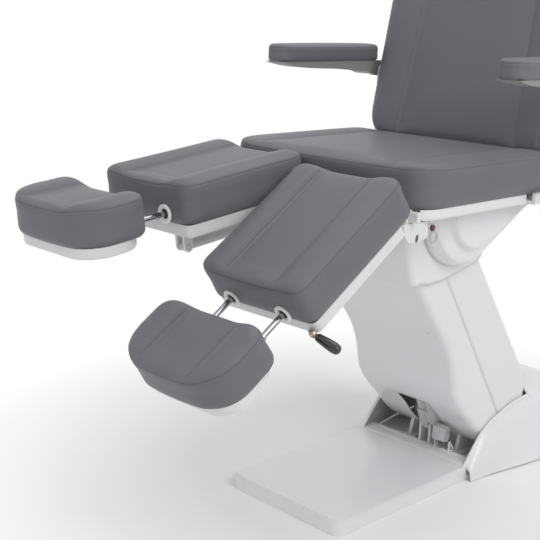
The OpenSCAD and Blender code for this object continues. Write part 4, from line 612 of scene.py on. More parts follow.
def cover_points(c):
    """Points, faces, pinned points, and for the sewing its distance, length and weight."""
    us, vs = across_shares(c), along_shares(c)
    nu, nv = len(us), len(vs)
    width, length, thick = c.size
    rows, below = wall_rows(thick, c.soft)
    u, v = np.meshgrid(us, vs)
    ring = border_of(nu, nv)
    layers = []
    for height, inset in rows:
        x, y = place_on_pad(u.ravel()[ring], v.ravel()[ring], c, inset)
        layers.append(np.stack([x, y, height + (pad_height(x, y, c) - thick)*height/thick], -1))
    layers = np.stack(layers)
    x, y = (p.ravel() for p in place_on_pad(u, v, c, rows[-1][1]))
    top = np.stack([x, y, pad_height(x, y, c)], -1)
    # Points are numbered wall rows first, then the top, then the board inside its border.
    nr, nw, n_top = len(ring), len(rows) - 1, nu*nv
    top_start, board_start = nw*nr, nw*nr + n_top
    under = np.full(n_top, -1)
    under[ring] = np.arange(nr)
    inner = under < 0
    n_board = int(inner.sum())
    under[inner] = board_start + np.arange(n_board)
    x_low, y_low = (p.ravel()[inner] for p in place_on_pad(u, v, c, rows[0][1]))
    board = np.stack([x_low, y_low, 0*x_low], -1)
    points = np.concatenate([layers[:-1].reshape(-1, 3), top, board])
    number = np.concatenate([np.arange(top_start).reshape(nw, nr), (top_start + ring)[None]])
    after = np.roll(number, -1, axis=1)
    wall = np.stack([number[:-1], after[:-1], after[1:], number[1:]], -1).reshape(-1, 4)
    top_faces = sheet_faces(nv, nu)
    quads = np.concatenate([wall, top_faces + top_start, under[top_faces][:, ::-1]])
    lane = np.abs(np.abs(x) - c.seam) if c.sewn else np.full(n_top, FAR)
    lane = np.where(np.minimum(y, length - y) < 4, FAR, lane)
    # Above its seam the wall keeps out of the fold's middle, so that the fold stays thin.
    wall_off = np.abs(below[:-1])
    wall_off = np.where(below[:-1] > 0.3, np.maximum(wall_off, 1.6), wall_off)
    off = np.concatenate([np.repeat(wall_off, nr), lane, np.full(n_board, FAR)])
    step = np.linalg.norm(np.roll(layers[SEAM_ROW], -1, axis=0) - layers[SEAM_ROW], axis=1)
    girth = np.concatenate([[0], np.cumsum(step)[:-1]])
    run = np.concatenate([np.tile(girth, nw), y, np.zeros(n_board)])
    weight = np.concatenate([np.full(top_start, EDGE_SEAM), np.ones(n_top + n_board)])
    pinned = [np.arange(nr*2), np.arange(SEAM_ROW*nr, (SEAM_ROW + 1)*nr),
              board_start + np.arange(n_board)]
    if c.sewn:
        on_seam = np.abs(np.abs(u.ravel()*width/2) - c.seam) < 0.3
        pinned.append(top_start + np.flatnonzero(on_seam))
    is_top = (np.arange(len(points)) >= top_start) & (np.arange(len(points)) < board_start)
    return points, quads, np.concatenate(pinned), (off, run, weight), is_top


print("cover ready")

# %% [markdown]
# # Blowing the cover up
# The cloth runs for twenty frames with pressure and without gravity. How far a point may
# go is a soft limit: a long push is squeezed towards the cap by a hyperbolic tangent, so
# nothing stands out where the limit starts. The side band has a smaller cap than the top,
# which keeps the cushion clear of its neighbours.

# %% Cloth under pressure
CLOTH_FRAMES = 20
FOLD = 0.0017                            # metres, width of the pressed groove
LIP, LIP_OFF, LIP_WIDTH = 0.35, 0.0042, 0.0022     # the raised lip on either side of it


def blow_up(name, points, quads, pinned, top, caps, pressure=4.0):
    """Runs the cloth on a scratch copy of the cover and returns its points, blown up."""
    mesh = bpy.data.meshes.new(name)
    mesh.from_pydata((points*MM).tolist(), [], quads.tolist())
    cover = bpy.data.objects.new(name, mesh)
    scene = bpy.context.scene
    scene.collection.objects.link(cover)
    group = cover.vertex_groups.new(name="sewn")
    group.add(pinned.tolist(), 1.0, "REPLACE")
    cloth = cover.modifiers.new("cloth", "CLOTH").settings
    cloth.quality = 4
    cloth.mass = 0.3
    cloth.tension_stiffness = cloth.compression_stiffness = 12
    cloth.bending_stiffness = 1.5
    cloth.vertex_group_mass = "sewn"
    cloth.use_pressure = True
    cloth.uniform_pressure_force = pressure
    cloth.effector_weights.gravity = 0
    for number in range(1, CLOTH_FRAMES + 1):
        scene.frame_set(number)
    blown = cover.evaluated_get(bpy.context.evaluated_depsgraph_get()).data
    push = read_all(blown.vertices, "co")/MM - points
    size = np.linalg.norm(push, axis=1, keepdims=True)
    cap = np.where(top, *caps)[:, None]
    bpy.data.objects.remove(cover)
    bpy.data.meshes.remove(mesh)
    scene.frame_set(1)
    return points + push*cap*np.tanh(size/cap)/np.maximum(size, 1e-9)


def make_cushions(c, caps, place, makes):
    """One cover, blown up once, and one cushion from it for each name, body and side."""
    points, quads, pinned, sewing, top = cover_points(c)
    if c.taper:
        points[:, 0] = bent_seam(points[:, 0], points[:, 1], c)
    points = blow_up("cover", points, quads, pinned, top, caps) + np.array(c.at)
    for name, body, side in makes:
        mesh = bpy.data.meshes.new(name)
        order = quads if side > 0 else quads[:, ::-1]
        mesh.from_pydata(place(points, side).tolist(), [], order.tolist())
        for key, unit, values in zip(("sewn_off", "sewn_run", "sewn_weight"), (MM, MM, 1), sewing):
            layer = mesh.attributes.new(key, "FLOAT", "POINT")
            layer.data.foreach_set("value", (values*unit).astype(np.float32))
        mesh.update()
        piece = finish_piece(name, mesh, body, leatherette)
        finer = piece.modifiers.new("finer", "SUBSURF")
        finer.levels = finer.render_levels = 1
        piece.data = bpy.data.meshes.new_from_object(
            piece.evaluated_get(bpy.context.evaluated_depsgraph_get()))
        piece.modifiers.remove(finer)
        press_grooves(piece.data, c.depth)
        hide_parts(name)
        print(name, len(piece.data.polygons), "faces")


def bent_seam(x, y, c):
    """Slides the columns so that the lengthwise seams run together towards the rear."""
    half, seam = c.size[0]/2, c.seam
    target = seam + c.taper*(0.5 - y/c.size[1])*2
    a = np.abs(x)
    inner = a*target/seam
    outer = target + (a - seam)*(half - target)/(half - seam)
    return np.sign(x)*np.where(a < seam, inner, outer)


def press_grooves(mesh, depth):
    """Moves points in by a bell curve of their distance, and out by a lower one beside it."""
    co, normal = read_all(mesh.vertices, "co"), read_all(mesh.vertices, "normal")
    off, weight = np.empty((2, len(co)), np.float32)
    mesh.attributes["sewn_off"].data.foreach_get("value", off)
    mesh.attributes["sewn_weight"].data.foreach_get("value", weight)
    bell = depth*(np.exp(-(off/FOLD)**2) - LIP*np.exp(-((off - LIP_OFF)/LIP_WIDTH)**2))
    co -= normal*(bell*weight)[:, None]*MM
    mesh.vertices.foreach_set("co", co.ravel())
    mesh.update()


print("cloth ready")

# %% [markdown]
# # The nine cushions
# Sizes are width, length and thickness; the corner radii, bows and dishes are front and
# rear. The leg cushions' seams stand over the rods, and the back's seams run together
# towards its top. The pair of numbers after a cushion caps the cloth's push in millimetres,
# on the top and on the sides.

# %% Make the cushions
seat_pad = Pad((600, 478, 92), (0, 0, -92), corner=(75, 40), bow=(6, 0), dish=(5, 4),
               seam=216, groove=5, depth=1.5)
back_pad = Pad((572, 700, 92), (0, 12, -52), corner=(70, 90), bow=(10, 10), dish=(9, 9),
               seam=172, groove=5, crown=4.8, depth=1.5, taper=18.0)
head_pad = Pad((290, 170, 70), (0, 752, -30), corner=(45, 55), bow=(6, 6), dish=(6, 6),
               seam=75.4, groove=3, soft=18, depth=1.2)
arm_pad = Pad((72, 375, 40), (346, 192.9, 174.3), corner=(32, 24), seam=18, groove=0.4,
              soft=18, sewn=False, depth=1.0)
calf_pad = Pad((288, 345, 92), (158, -330, 18), corner=(30, 26), dish=(15, 12))
foot_pad = Pad((288, 170, 84), (158, -585, 26), corner=(74, 34), bow=(12, 6), dish=(9, 14))

make_cushions(seat_pad, (7.0, 2.2), on_seat, [("seat_cushion", "seat", 1)])
make_cushions(back_pad, (8.0, 2.5), on_back, [("back_cushion", "back", 1)])
make_cushions(head_pad, (5.0, 2.0), on_back, [("headrest_cushion", "headrest", 1)])
for pad, caps, place, piece_name, body in (
        (arm_pad, (2.5, 1.2), on_seat, "armrest_pad", "armrest"),
        (calf_pad, (5.0, 1.8), on_leg, "calf_cushion", "leg"),
        (foot_pad, (5.0, 1.8), on_leg, "foot_cushion", "foot")):
    make_cushions(pad, caps, place, [(f"{word}_{piece_name}", f"{word}_{body}", side)
                                     for side, word in SIDES])

# %% [markdown]
# # The lifting column's covers
# Two moulded half shells cover the arm: a front one with a belly near its foot and a flat
# rear one, which meet at a seam along each side. Each is a section drawn like a U, carried
# along the arm: the side walls lie between the seam and the front or rear line, and the
# corners between side and front are rounded. Places are given across, rearwards from the
# arm's centre line, and along it from the lower pins.

# %% Sweep a U-shaped section along the arm
COLUMN_HALF = 165
WALL_COLUMNS, ARC_COLUMNS = 9, 9
SIDE_COLUMNS = WALL_COLUMNS + ARC_COLUMNS
SEAM_FOOT, SEAM_HEAD = np.array([-41.0, -71.5]), np.array([-18.0, 479.4])
SEAM_GAP = 0.4       # from the seam's middle to either shell


def seam_line(share):
    """Points of the seam between the shells, at shares of its way from foot to head."""
    return SEAM_FOOT + (SEAM_HEAD - SEAM_FOOT)*share[:, None]


def rounded_u(line, seam, corner, forward, across=14):
    """Sections from one seam round the front to the other: walls, arcs and a flat."""
    turn = np.linspace(0, math.pi/2, ARC_COLUMNS)
    side = np.linspace(0, 1, WALL_COLUMNS + 1)[:-1]
    d_edge, s_edge = line[:, :1], line[:, 1:]
    d_seam, s_seam = seam[:, :1], seam[:, 1:]
    reach = d_edge - forward*corner
    flat = COLUMN_HALF - corner
    wall = points_of(COLUMN_HALF, d_seam + (reach - d_seam)*side,
                     s_seam + (s_edge - s_seam)*side)
    bend = points_of(flat + corner*np.cos(turn), reach + forward*corner*np.sin(turn), s_edge)
    front = points_of(flat*np.linspace(1, -1, across)[1:-1], d_edge, s_edge)
    left = np.concatenate([wall, bend], 1)
    return np.concatenate([left, front, left[:, ::-1]*MIRROR], 1)


def column_cover(word, grid, left_out):
    """The grid's sheet without the squares whose first corners (x, d, s) are left out."""
    corners = np.moveaxis(grid[:-1, :-1], -1, 0)
    sew_sheets(f"column_{word}_cover", [(on_arm(grid), ~left_out(*corners))], "lift_arm",
               gloss_white, f"column_{word}_shell",
               outward=on_arm([0, 0, 250]), wall=COVER_WALL)


front_knots = [[0.97, -0.17], [1.08, -0.125], [1.17, -0.075], [1.235, -0.015], [1.3, 0.087],
               [1.36, 0.149], [1.4, 0.216], [1.36, 0.296], [1.18, 0.37], [1.04, 0.455],
               [0.985, 0.525], [1, 0.67], [1.02, 0.86], [1.03, 0.985]]
front = smooth_path([[-103*a, ARM_LENGTH*b] for a, b in front_knots], 90)
share = (front[:, 1] - front[0, 1])/(front[-1, 1] - front[0, 1])
grid = rounded_u(front, seam_line(share) - [SEAM_GAP, 0], 20, -1, across=32)
middle_x = (grid[:-1, :-1, 0] + grid[1:, 1:, 0])/2
NOTCH_HALF, NOTCH_TOP, NOTCH_FRONT = 52, 84, 60      # for the lift actuator
column_cover("front", grid, lambda x, d, s: (
    np.abs(middle_x) < NOTCH_HALF) & (s < NOTCH_TOP) & (np.abs(d) > NOTCH_FRONT))

# %% [markdown]
# # The rear shell
# The rear shell's line runs under the lower pins in a curve and then straight up. It is
# swept the same way, and the squares below the pins are left out between its side walls,
# because the base's cheeks stand there.

# %% The rear cover of the column
rear_low = smooth_path([[0, -100.8], [46, -90], [82, -57], [103, 0]], 24)
rear_high = np.stack([np.full(50, 103.0), np.linspace(0, 414.0, 50)], -1)[1:]
rear = np.concatenate([rear_low, rear_high])
length = run_along(rear)
grid = rounded_u(rear, seam_line(length/length[-1]) + [SEAM_GAP, 0], 12, 1)
columns = np.arange(grid.shape[1] - 1)
between = (columns >= SIDE_COLUMNS - 1) & (columns < grid.shape[1] - SIDE_COLUMNS)
column_cover("rear", grid, lambda x, d, s: (np.abs(x) < 154) & (s < 0.0) & between)

# %% [markdown]
# # The head's cover
# A moulded cover hides the head at the top of the column. Seen from the side it is a
# rounded block with a soft lower front edge; its front rolls into its sides. The roll is a
# quarter circle carried along the side's outline, and the sides fill in from that outline
# to a middle point.

# %% Head cover
def rounded_line(knots, radius, count=9):
    """Polyline whose corners become quadratic curves that start a radius from the corner."""
    k = np.asarray(knots, float)
    parts = [k[:1]]
    for before, corner, behind in zip(k, k[1:], k[2:]):
        back, on = before - corner, behind - corner
        a = corner + back/np.linalg.norm(back)*min(radius, np.linalg.norm(back)*0.48)
        b = corner + on/np.linalg.norm(on)*min(radius, np.linalg.norm(on)*0.48)
        t = np.linspace(0, 1, count)[:, None]
        parts.append((1 - t)**2*a + 2*t*(1 - t)*corner + t*t*b)
    parts.append(k[-1:])
    return np.concatenate(parts)


def even_line(line, count):
    """The same line with points at even distances along it."""
    run = run_along(line)
    at = np.linspace(0, run[-1], count)
    return np.stack([np.interp(at, run, line[:, i]) for i in range(line.shape[1])], -1)


def line_normal(line):
    """Unit normal to the left of the line's direction at each of its points."""
    way = np.gradient(line, axis=0)
    way /= np.linalg.norm(way, axis=1, keepdims=True)
    return np.stack([-way[:, 1], way[:, 0]], -1)


def roll_cover(front, rest, centre, half, corner):
    """Front sheet with rolled edges along one line, and side sheets along the whole line."""
    inward = line_normal(front)
    if ((centre - front)*inward).sum() < 0:
        inward = -inward
    turn = np.linspace(0, math.pi/2, 10)
    line = front[:, None] + inward[:, None]*(corner*(1 - np.sin(turn)))[None, :, None]
    bend = points_of(half - corner + corner*np.cos(turn), line[..., 0], line[..., 1])
    flat = points_of(np.linspace(half - corner, corner - half, 22), front[:, :1], front[:, 1:])
    rim = np.concatenate([front + inward*corner, rest])
    share = np.linspace(0, 1, 14)[None, :, None]
    fill = rim[:, None]*(1 - share) + centre*share
    face = points_of(half, fill[..., 0], fill[..., 1])
    return [bend, flat, bend*MIRROR, face, face*MIRROR]


HUB_R = 132.0
head_knots = np.array([[-0.93, 0.6], [-0.97, 0.18], [-0.72, -0.63], [-0.26, -0.655],
                       [0.22, -0.61], [1.17, -0.4], [1.29, -0.1], [1.33, 0.5]])
head_knots = head_knots*HUB_R + [HEAD_Y, HEAD_Z]
head_front = even_line(rounded_line(head_knots[:3], 30), 60)
head_rest = even_line(rounded_line(head_knots[3:], 20), 70)
centre = np.array([HEAD_Y + 0.15*HUB_R, HEAD_Z + 0.45*HUB_R])
sheets = roll_cover(head_front, head_rest, centre, half=172.0, corner=16.0)
sew_sheets("head_shell", [on_chair(sheet) for sheet in sheets], "head", gloss_white,
           "head_cover", outward=on_chair([0, *centre]), wall=COVER_WALL)

# %% [markdown]
# # The stepped hub covers
# Where the seat turns on the head, a moulded cover steps outwards on each side in three
# soft rings, and runs out backwards into a tail below the pan. Each ring is the same
# outline at a smaller size: an arc under the pivot that straightens into the tail. A
# profile of places across and sizes is carried round that outline.

# %% Hub covers
HUB_RISE = 18.0                      # from the shaft up to the pan
HUB_INNER, HUB_OUTER = 174, 238.0    # places across of the first ring and of the disc
HUB_DISC = 0.54                      # size of the disc beside the first ring
TAIL_START = 360 - 58                # angle where the arc turns into the tail
TAIL_REACH, TAIL_FIXED = 290, 0.55   # its length, and the share that doesn't follow the size


def hub_outline(size, height):
    """Open outline in y and z: from the pan down round the arc and back up to the pan."""
    r = HUB_R*size
    start = 180 - math.degrees(math.asin(HUB_RISE/r))
    angle = np.radians(np.linspace(start, TAIL_START, 56))
    arc = np.stack([HUB_Y + r*np.cos(angle), HUB_Z + r*np.sin(angle)], -1)
    reach = TAIL_REACH*(TAIL_FIXED + (1 - TAIL_FIXED)*size)
    end = np.array([HUB_Y + reach, HUB_Z + HUB_RISE])
    tail = arc[-1] + (end - arc[-1])*np.linspace(0, 1, 20)[1:, None]
    middle = np.array([HUB_Y + 40, HUB_Z + HUB_RISE])
    return np.concatenate([arc, tail])*height + middle*(1 - height)


profile = rounded_line([[0, 1], [19, 0.965], [31, 0.92], [37, 0.9], [41, 0.82], [42.5, 0.70],
                        [46, 0.665], [57, 0.63], [62, 0.6], [64, HUB_DISC]], 4.0, 5)
steps = [(HUB_INNER + x, size, 1.0) for x, size in profile]
steps += [(HUB_OUTER, HUB_DISC, share) for share in np.linspace(1, 0, 12)[1:]]
grid = np.stack([np.insert(hub_outline(size, share), 0, x, axis=1)
                 for x, size, share in steps])
for side, word in SIDES:
    sew_sheets(word + "_hub_shell", [on_seat(grid, side)], "seat", gloss_white,
               word + "_hub_cover", outward=on_seat([170, HUB_Y, HUB_Z], side),
               wall=COVER_WALL)

# %% [markdown]
# # The hood over the foot of the column
# The hood is a moulded arch with a flared skirt. Its front is open where the column comes
# down. The arch is a rounded square section whose height and flare change along the chair.
# The squares of the grid over that opening are left out, and so are a few at the rear, where
# the power inlet looks through. The lowest row stays a little above the floor, because the
# wall's thickness is still added to it.

# %% Hood
HOOD_START, HOOD_LENGTH, HOOD_MOUTH, HOOD_END = 55.0, 565.0, 328.0, 620
HOOD_HALF, HOOD_TOP, HOOD_FLARE = 193, 200, 47
OPENING_HALF = 171       # the opening's edge lies where the arch is this far from the middle
EDGE_COLUMN = 25         # column of the grid on that edge
RISE_POWER, WIDTH_POWER, FLARE_POWER = 0.45, 0.4, 2.2
HOOD_FOOT = 3.8          # height of the lowest row


def hood_grid():
    """Sections along Y: a power of sine for the height, a power of cosine for the width."""
    y_at = np.array([0, 0.07, 0.12, 0.19, 0.27, 0.35, 0.47, 0.6, 0.74, 0.86, 0.95, 1])
    h_at = np.array([0.2, 0.47, 0.64, 0.77, 0.86, 0.93, 0.975, 1, 0.93, 0.72, 0.45, 0.2])
    w_at = np.array([0.06, 0.12, 0.2, 0.35, 0.52, 0.68, 0.85, 0.95, 1, 0.98, 0.92, 0.8])
    y = np.unique(np.concatenate([np.linspace(HOOD_START, HOOD_MOUTH, 44),
                                  np.linspace(HOOD_MOUTH, HOOD_END, 46)]))
    share = (y - HOOD_START)/HOOD_LENGTH
    curve = smooth_path(np.stack([y_at, h_at, w_at], -1), 400)
    height = HOOD_TOP*np.interp(share, curve[:, 0], curve[:, 1])
    skirt = HOOD_FLARE*np.interp(share, curve[:, 0], curve[:, 2])
    t = np.linspace(0, 1, 3000)*math.pi/2
    z_share = np.sin(t)**RISE_POWER
    x_plain = HOOD_HALF*np.cos(t)**WIDTH_POWER
    rows = []
    for y_k, height_k, skirt_k in zip(y, height, skirt):
        z = height_k*z_share
        x = x_plain + skirt_k*(1 - z_share)**FLARE_POWER
        edge = int(np.argmax(x < OPENING_HALF))
        run = np.concatenate([[0], np.cumsum(np.hypot(np.diff(x), np.diff(z)))])
        at = np.concatenate([np.linspace(0, run[edge], EDGE_COLUMN + 1),
                             np.linspace(run[edge], run[-1], 22)[1:]])
        half = points_of(np.interp(at, run, x), y_k, np.interp(at, run, z))
        rows.append(np.concatenate([half, half[-2::-1]*MIRROR]))
    return np.stack(rows), y


grid, hood_y = hood_grid()
columns = np.arange(grid.shape[1] - 1)
mouth = (hood_y[:-1, None] < HOOD_MOUTH - 0.1) & (columns >= EDGE_COLUMN) \
    & (columns < grid.shape[1] - EDGE_COLUMN - 1)
middle = (grid[:-1, :-1] + grid[1:, 1:])/2
inlet = (np.abs(middle[..., 0]) < 27) & (middle[..., 1] > 585) & (middle[..., 1] < 612)
grid[..., 2] = np.maximum(grid[..., 2], HOOD_FOOT)
drop = np.linspace(0, 1, 8)[:, None, None]
end = grid[-1]*(1 - drop) + (grid[-1]*[1, 1, 0] + [0, 0, HOOD_FOOT])*drop
sew_sheets("base_hood_shell", [(grid*MM, ~(mouth | inlet)), end*MM], "base", gloss_white,
           "base_hood", outward=np.array([0, 0.35, 0.05]), wall=COVER_WALL)

# %% [markdown]
# # The rolled edge of the opening
# The hood's sheet is rolled over at the opening, which stiffens it and catches the light. A
# tube along the grid's edge, sunk a little into the wall, gives that roll.

# %% The rolled edge of the hood's opening
def tube(name, path, radius, body, finish, sides=12):
    """Circles square to the path, at each of its points, joined into a closed-ended tube."""
    way = np.gradient(path, axis=0)
    way /= np.linalg.norm(way, axis=1, keepdims=True)
    up = np.array([0.12, 0.31, 0.94])
    first = np.cross(way, up)
    first /= np.linalg.norm(first, axis=1, keepdims=True)
    second = np.cross(way, first)
    angle = np.linspace(0, 2*math.pi, sides + 1)[None, :, None]
    circle = first[:, None]*np.cos(angle) + second[:, None]*np.sin(angle)
    ring = path[:, None] + radius*circle
    ends = [path[i][None, None] + 0*ring[:1] for i in (0, -1)]
    return sew_sheets(name, [np.concatenate([ends[0], ring, ends[1]])*MM], body, finish)


RIM_RADIUS = 5.0
left_edge = grid[hood_y < HOOD_MOUTH + 0.1][:, EDGE_COLUMN]
back_row = grid[np.argmax(hood_y > HOOD_MOUTH - 0.1)]
back_edge = back_row[EDGE_COLUMN + 1:grid.shape[1] - EDGE_COLUMN - 1]
path = even_line(np.concatenate([left_edge, back_edge, left_edge[::-1]*MIRROR]), 200)
path[:, 2] = np.maximum(path[:, 2] - 2.0, RIM_RADIUS)
tube("hood_rim", path, RIM_RADIUS, "base", gloss_white)

# %% [markdown]
# # Turned pieces and flat plates
# Flanges, bolts and grips are turned: one profile of places along an axis and radii is
# carried round that axis. Brackets are flat plates: one outline is given a thickness. Both
# are grids again, so the sheet builder makes them.

# %% Turned pieces and plates
def turned(origin, axis, profile, sides=48, oval=(1.0, 1.0)):
    """Circles round an axis, one for each pair of a place along it and a radius."""
    axis = np.asarray(axis, float)/np.linalg.norm(axis)
    first = np.cross(axis, [0.1, 0.2, 0.97])
    first /= np.linalg.norm(first)
    second = np.cross(axis, first)
    along, radius = np.asarray(profile, float).T[:, :, None, None]
    angle = np.linspace(0, 2*math.pi, sides + 1)[None, :, None]
    ring = first*np.cos(angle)*oval[0] + second*np.sin(angle)*oval[1]
    return np.asarray(origin, float) + axis*along + ring*radius


def plate(outline, low, high, bevel=0.8):
    """Closed grid of a flat piece across X, from an outline in y and z, with broken edges."""
    line = np.asarray(outline, float)
    line = np.concatenate([line, line[:1]])
    middle = line[:-1].mean(0)
    small = middle + (line - middle)*(1 - bevel/np.abs(line - middle).max())
    steps = [(low, middle + 0*line), (low, small), (low + bevel, line), (high - bevel, line),
             (high, small), (high, middle + 0*line)]
    return np.stack([np.insert(flat, 0, x, axis=1) for x, flat in steps])


LEG_X, ROD_HALF, ROD_Z, FLANGE_Y = 158.0, 73.0, 37.1, -331.0
LEVER_AT, LEVER_SLOPE = np.array([291.0, -328.0, 1.0]), math.radians(27)
AHEAD = [0, -1, 0]
ring_profile = rounded_line([[0.6, 20.3], [3.2, 20.4], [4.9, 19.2], [5.3, 16.5], [4.4, 13.2],
                             [2.6, 10.8], [0.6, 10.4]], 1.2, 4)
bush_profile = [[1.0, 10.8], [1.2, 9.0], [2.6, 8.4], [3.4, 7.4], [2.6, 6.4], [0.4, 6.3]]
grip_profile = rounded_line([[0, 0], [0, 7.6], [5, 8.6], [24, 10.6], [40, 11.4], [50, 9.8],
                             [54, 5.0], [54.6, 0]], 3.0, 8)
bolt_profile = rounded_line([[0, 0], [0, 9.0], [5.6, 9.0], [7.0, 7.6], [7.0, 4.2], [9.5, 4.0],
                             [9.5, 0]], 0.8, 3)
stem_profile = [[0, 0], [0, 4.5], [12, 4.5], [12, 0]]
for side, word in SIDES:
    for x, place in ((LEG_X - ROD_HALF, "inner"), (LEG_X + ROD_HALF, "outer")):
        centre = [x, FLANGE_Y, ROD_Z]
        sew_sheets(f"{word}_{place}_flange",
                   [on_leg(turned(centre, AHEAD, ring_profile), side)],
                   word + "_leg", ring_white, word + "_rod_flanges")
        sew_sheets(f"{word}_{place}_bush",
                   [on_leg(turned(centre, AHEAD, bush_profile), side)],
                   word + "_leg", black_plastic)
    big = turned(LEVER_AT, AHEAD, bolt_profile)
    small = turned(LEVER_AT + [-11, 3, -2], AHEAD, np.array(bolt_profile)*0.6)
    sew_sheets(word + "_lever_bolt", [on_leg(big, side), on_leg(small, side)],
               word + "_lever", zinc)
    way = np.array([math.cos(LEVER_SLOPE), 0, -math.sin(LEVER_SLOPE)])
    start = LEVER_AT + [0, -3, 0]
    sew_sheets(word + "_lever_grip", [on_leg(turned(start + way*9, way, grip_profile), side)],
               word + "_lever", black_gloss, word + "_release_lever")
    sew_sheets(word + "_lever_stem", [on_leg(turned(start, way, stem_profile), side)],
               word + "_lever", black_gloss)

# %% [markdown]
# # Brackets under the seat
# Beside each leg hinge the photograph shows a white gusset with an oval hole, and behind it
# a small clevis with a reddish bolt and a ring. A rounded nose closes the pan's front edge
# above them. All are small plates, turned pieces and a tube. The hole is not cut: a grey
# disc on the gusset's face stands for it as painted shade.

# %% Brackets under the seat
gusset = [[-372, 722], [-292, 722], [-289, 700], [-291, 685], [-310, 681], [-335, 679],
          [-354, 682], [-368, 700]]
hole_profile = [[0.3, 0], [0.3, 4.8], [0.6, 5.6], [-0.5, 6.0]]
cap = [[-284, 724.2], [-226, 724.2], [-226, 719], [-284, 719]]
stem = [[-264, 720], [-246, 720], [-247, 690], [-252, 684], [-258, 684], [-263, 690]]
clevis_bolt = rounded_line([[0, 0], [0, 6.4], [5, 6.4], [7, 5], [7, 0]], 1.0, 3)
nose = [[-353, 729], [-350, 725], [-341, 724], [-341, 747], [-351, 747], [-353, 745]]
angle = np.linspace(0, 2*math.pi, 49)
loop = points_of(262, -255 + 11*np.sin(angle), 680.5 + 12*np.cos(angle))
for side, word in SIDES:
    sew_sheets(word + "_hinge_gusset", [on_chair(plate(gusset, 268, 272), side)], "seat",
               powder_white)
    # Painted shade: a thin grey disc on the gusset's face stands for its oval hole.
    hole = turned([272, -326, 688], [1, 0, 0], hole_profile, oval=(0.8, 1.5))
    sew_sheets(word + "_gusset_hole_shade", [on_chair(hole, side)], "seat", hole_shade_grey)
    sew_sheets(word + "_clevis", [on_chair(plate(cap, 250, 274), side),
                                  on_chair(plate(stem, 252, 255), side)], "seat",
               powder_white)
    bolt = turned([254.5, -255, 700], [1, 0, 0], clevis_bolt)
    sew_sheets(word + "_clevis_bolt", [on_chair(bolt, side)], "seat", rust_bolt)
    tube(word + "_clevis_ring", loop*[side, 1, 1], 2.6, "seat", light_grey)
    sew_sheets(word + "_pan_nose", [on_chair(plate(nose, 258, 291, 1.5), side)], "seat",
               powder_white)

# %% [markdown]
# # Small pieces behind the foot cover
# In the base, a strip closes the gap behind the foot cover. A light plate covers the end of
# the lift actuator between two uprights, and a thin wire runs in a bend from an upright
# down to the strip. The strip is a profile in y and z carried across, with sunk ends.

# %% Small pieces behind the foot cover
STRIP_LOW = 12.0         # top of the base plate
strip_y = [[55.5, STRIP_LOW], [55.5, 33.0], [58, 36.0], [92, 36.0], [93.5, 34.2], [95, 36.0],
           [110, 36.0], [112.5, 33.5], [112.5, STRIP_LOW]]
strip_y = rounded_line(strip_y, 1.2, 4)
strip_x = np.array([-176, -175.6, -174, -172, -34, 34, 172, 174, 175.6, 176])
drop = np.array([24, 3.0, 0.6, 0, 0, 0, 0, 0.6, 3.0, 24])
strip = points_of(strip_x, strip_y[:, :1], np.maximum(
    strip_y[:, 1:] - drop*(strip_y[:, 1:] > STRIP_LOW + 1), STRIP_LOW))
sew_sheets("foot_cover_strip", [strip*MM], "base", gloss_white, edge=50)

shield = [[98, 104], [82, 100], [80, 66], [96, 62], [104, 70], [106, 98]]
sew_sheets("actuator_shield", [plate(shield, 47.5, 86)*MM], "lift_motor", light_grey)
upright = [[97, 36], [107, 36], [107, 60], [104, 63], [100, 63], [97, 60]]
sew_sheets("shield_uprights", [plate(upright, x, x + 3)*MM for x in (44, 88)], "base",
           powder_white)
t = np.linspace(0, 1, 24)[:, None]
wire = (1 - t)**2*np.array([91, 103, 58]) + 2*t*(1 - t)*np.array([116, 106, 34]) \
    + t**2*np.array([64, 98, 36.6])
tube("base_wire", wire, 1.6, "base", powder_white)

# %% [markdown]
# # Studio light and floor
# The photograph is a plain cut-out, lit softly from the chair's left and above. One large
# lamp gives the main light, one above lights the tops, two weak ones open the front and the
# foot of the column, and a grey sky fills the rest. The floor is pale and keeps the shadow
# near the chair; further out it turns into the same white as the background, for the camera
# and for reflections only.

# %% Lamps, sky and floor
def area_lamp(name, place, aim, size, power):
    """A square lamp of a size in metres and a power in watts, aimed at a point."""
    data = bpy.data.lights.new(name, "AREA")
    data.shape, data.size, data.energy = "SQUARE", size, power
    lamp = bpy.data.objects.new(name, data)
    bpy.context.scene.collection.objects.link(lamp)
    turn = (Vector(aim) - Vector(place)).to_track_quat("-Z", "Y").to_matrix().to_4x4()
    lamp.matrix_world = Matrix.Translation(place) @ turn


area_lamp("key", (3.2, -0.9, 3.0), (0.1, 0.0, 0.6), 2.2, 62)
area_lamp("front", (-1.6, -3.4, 2.2), (0.0, 0.0, 0.6), 2.0, 5)
area_lamp("low", (-1.5, -3.0, 0.4), (0.0, 0.1, 0.25), 1.5, 8)
area_lamp("top", (0.0, 0.6, 3.6), (0.0, 0.1, 0.6), 2.4, 32)

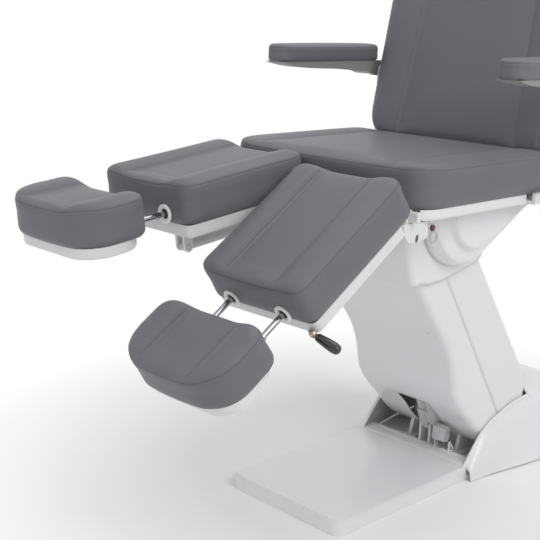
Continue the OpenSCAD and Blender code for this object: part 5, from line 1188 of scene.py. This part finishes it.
WHITE = (1, 1, 1, 1)
world = bpy.data.worlds.new("studio")
bpy.context.scene.world = world
world.use_nodes = True
sky = Wiring(world.node_tree)
rays = sky.add("ShaderNodeLightPath")
seen = sky.out(rays, "Is Camera Ray").calc("MAXIMUM", sky.out(rays, "Is Glossy Ray"))
seen = seen.calc("MAXIMUM", sky.out(rays, "Is Transmission Ray"))
grey = sky.add("ShaderNodeBackground", {}, {"Color": (0.96, 0.98, 1.0, 1), "Strength": 0.5})
white = sky.add("ShaderNodeBackground", {}, {"Color": WHITE})
mix = sky.add("ShaderNodeMixShader", {}, {0: seen, 1: sky.out(grey), 2: sky.out(white)})
sky.add("ShaderNodeOutputWorld", {}, {"Surface": sky.out(mix)})


def make_floor():
    """Pale near the chair; further out, what the camera and reflections see is white."""
    pale = Finish("floor", {"Base Color": (0.9, 0.9, 0.9, 1), "Roughness": 0.8})
    reach = pale.add("ShaderNodeVectorMath", {"operation": "LENGTH"}, {0: pale.place})
    far = 1 - pale.out(reach, "Value").below(0.85, 0.7)
    rays = pale.add("ShaderNodeLightPath")
    seen = pale.out(rays, "Is Camera Ray").calc("MAXIMUM", pale.out(rays, "Is Glossy Ray"))
    glow = pale.add("ShaderNodeEmission", {}, {"Color": WHITE, "Strength": 1.0})
    mix = pale.add("ShaderNodeMixShader", {}, {0: far*seen, 1: pale.out(pale.shader),
                                               2: pale.out(glow)})
    pale.tree.links.new(mix.outputs[0], pale.end.inputs["Surface"])
    return pale


angle = np.linspace(0, 2*math.pi, 97)
radius = np.array([0.001, 1, 2, 4, 9])[:, None]
disc = points_of(radius*np.cos(angle), radius*np.sin(angle), 0.0)
floor_mesh = bpy.data.meshes.new("floor")
floor_mesh.from_pydata(disc.reshape(-1, 3).tolist(), [], sheet_faces(5, 97).tolist())
floor_mesh.materials.append(make_floor().material)
floor = bpy.data.objects.new("floor", floor_mesh)
bpy.context.scene.collection.objects.link(floor)
bpy.context.scene.view_settings.view_transform = "Standard"
print("studio ready")
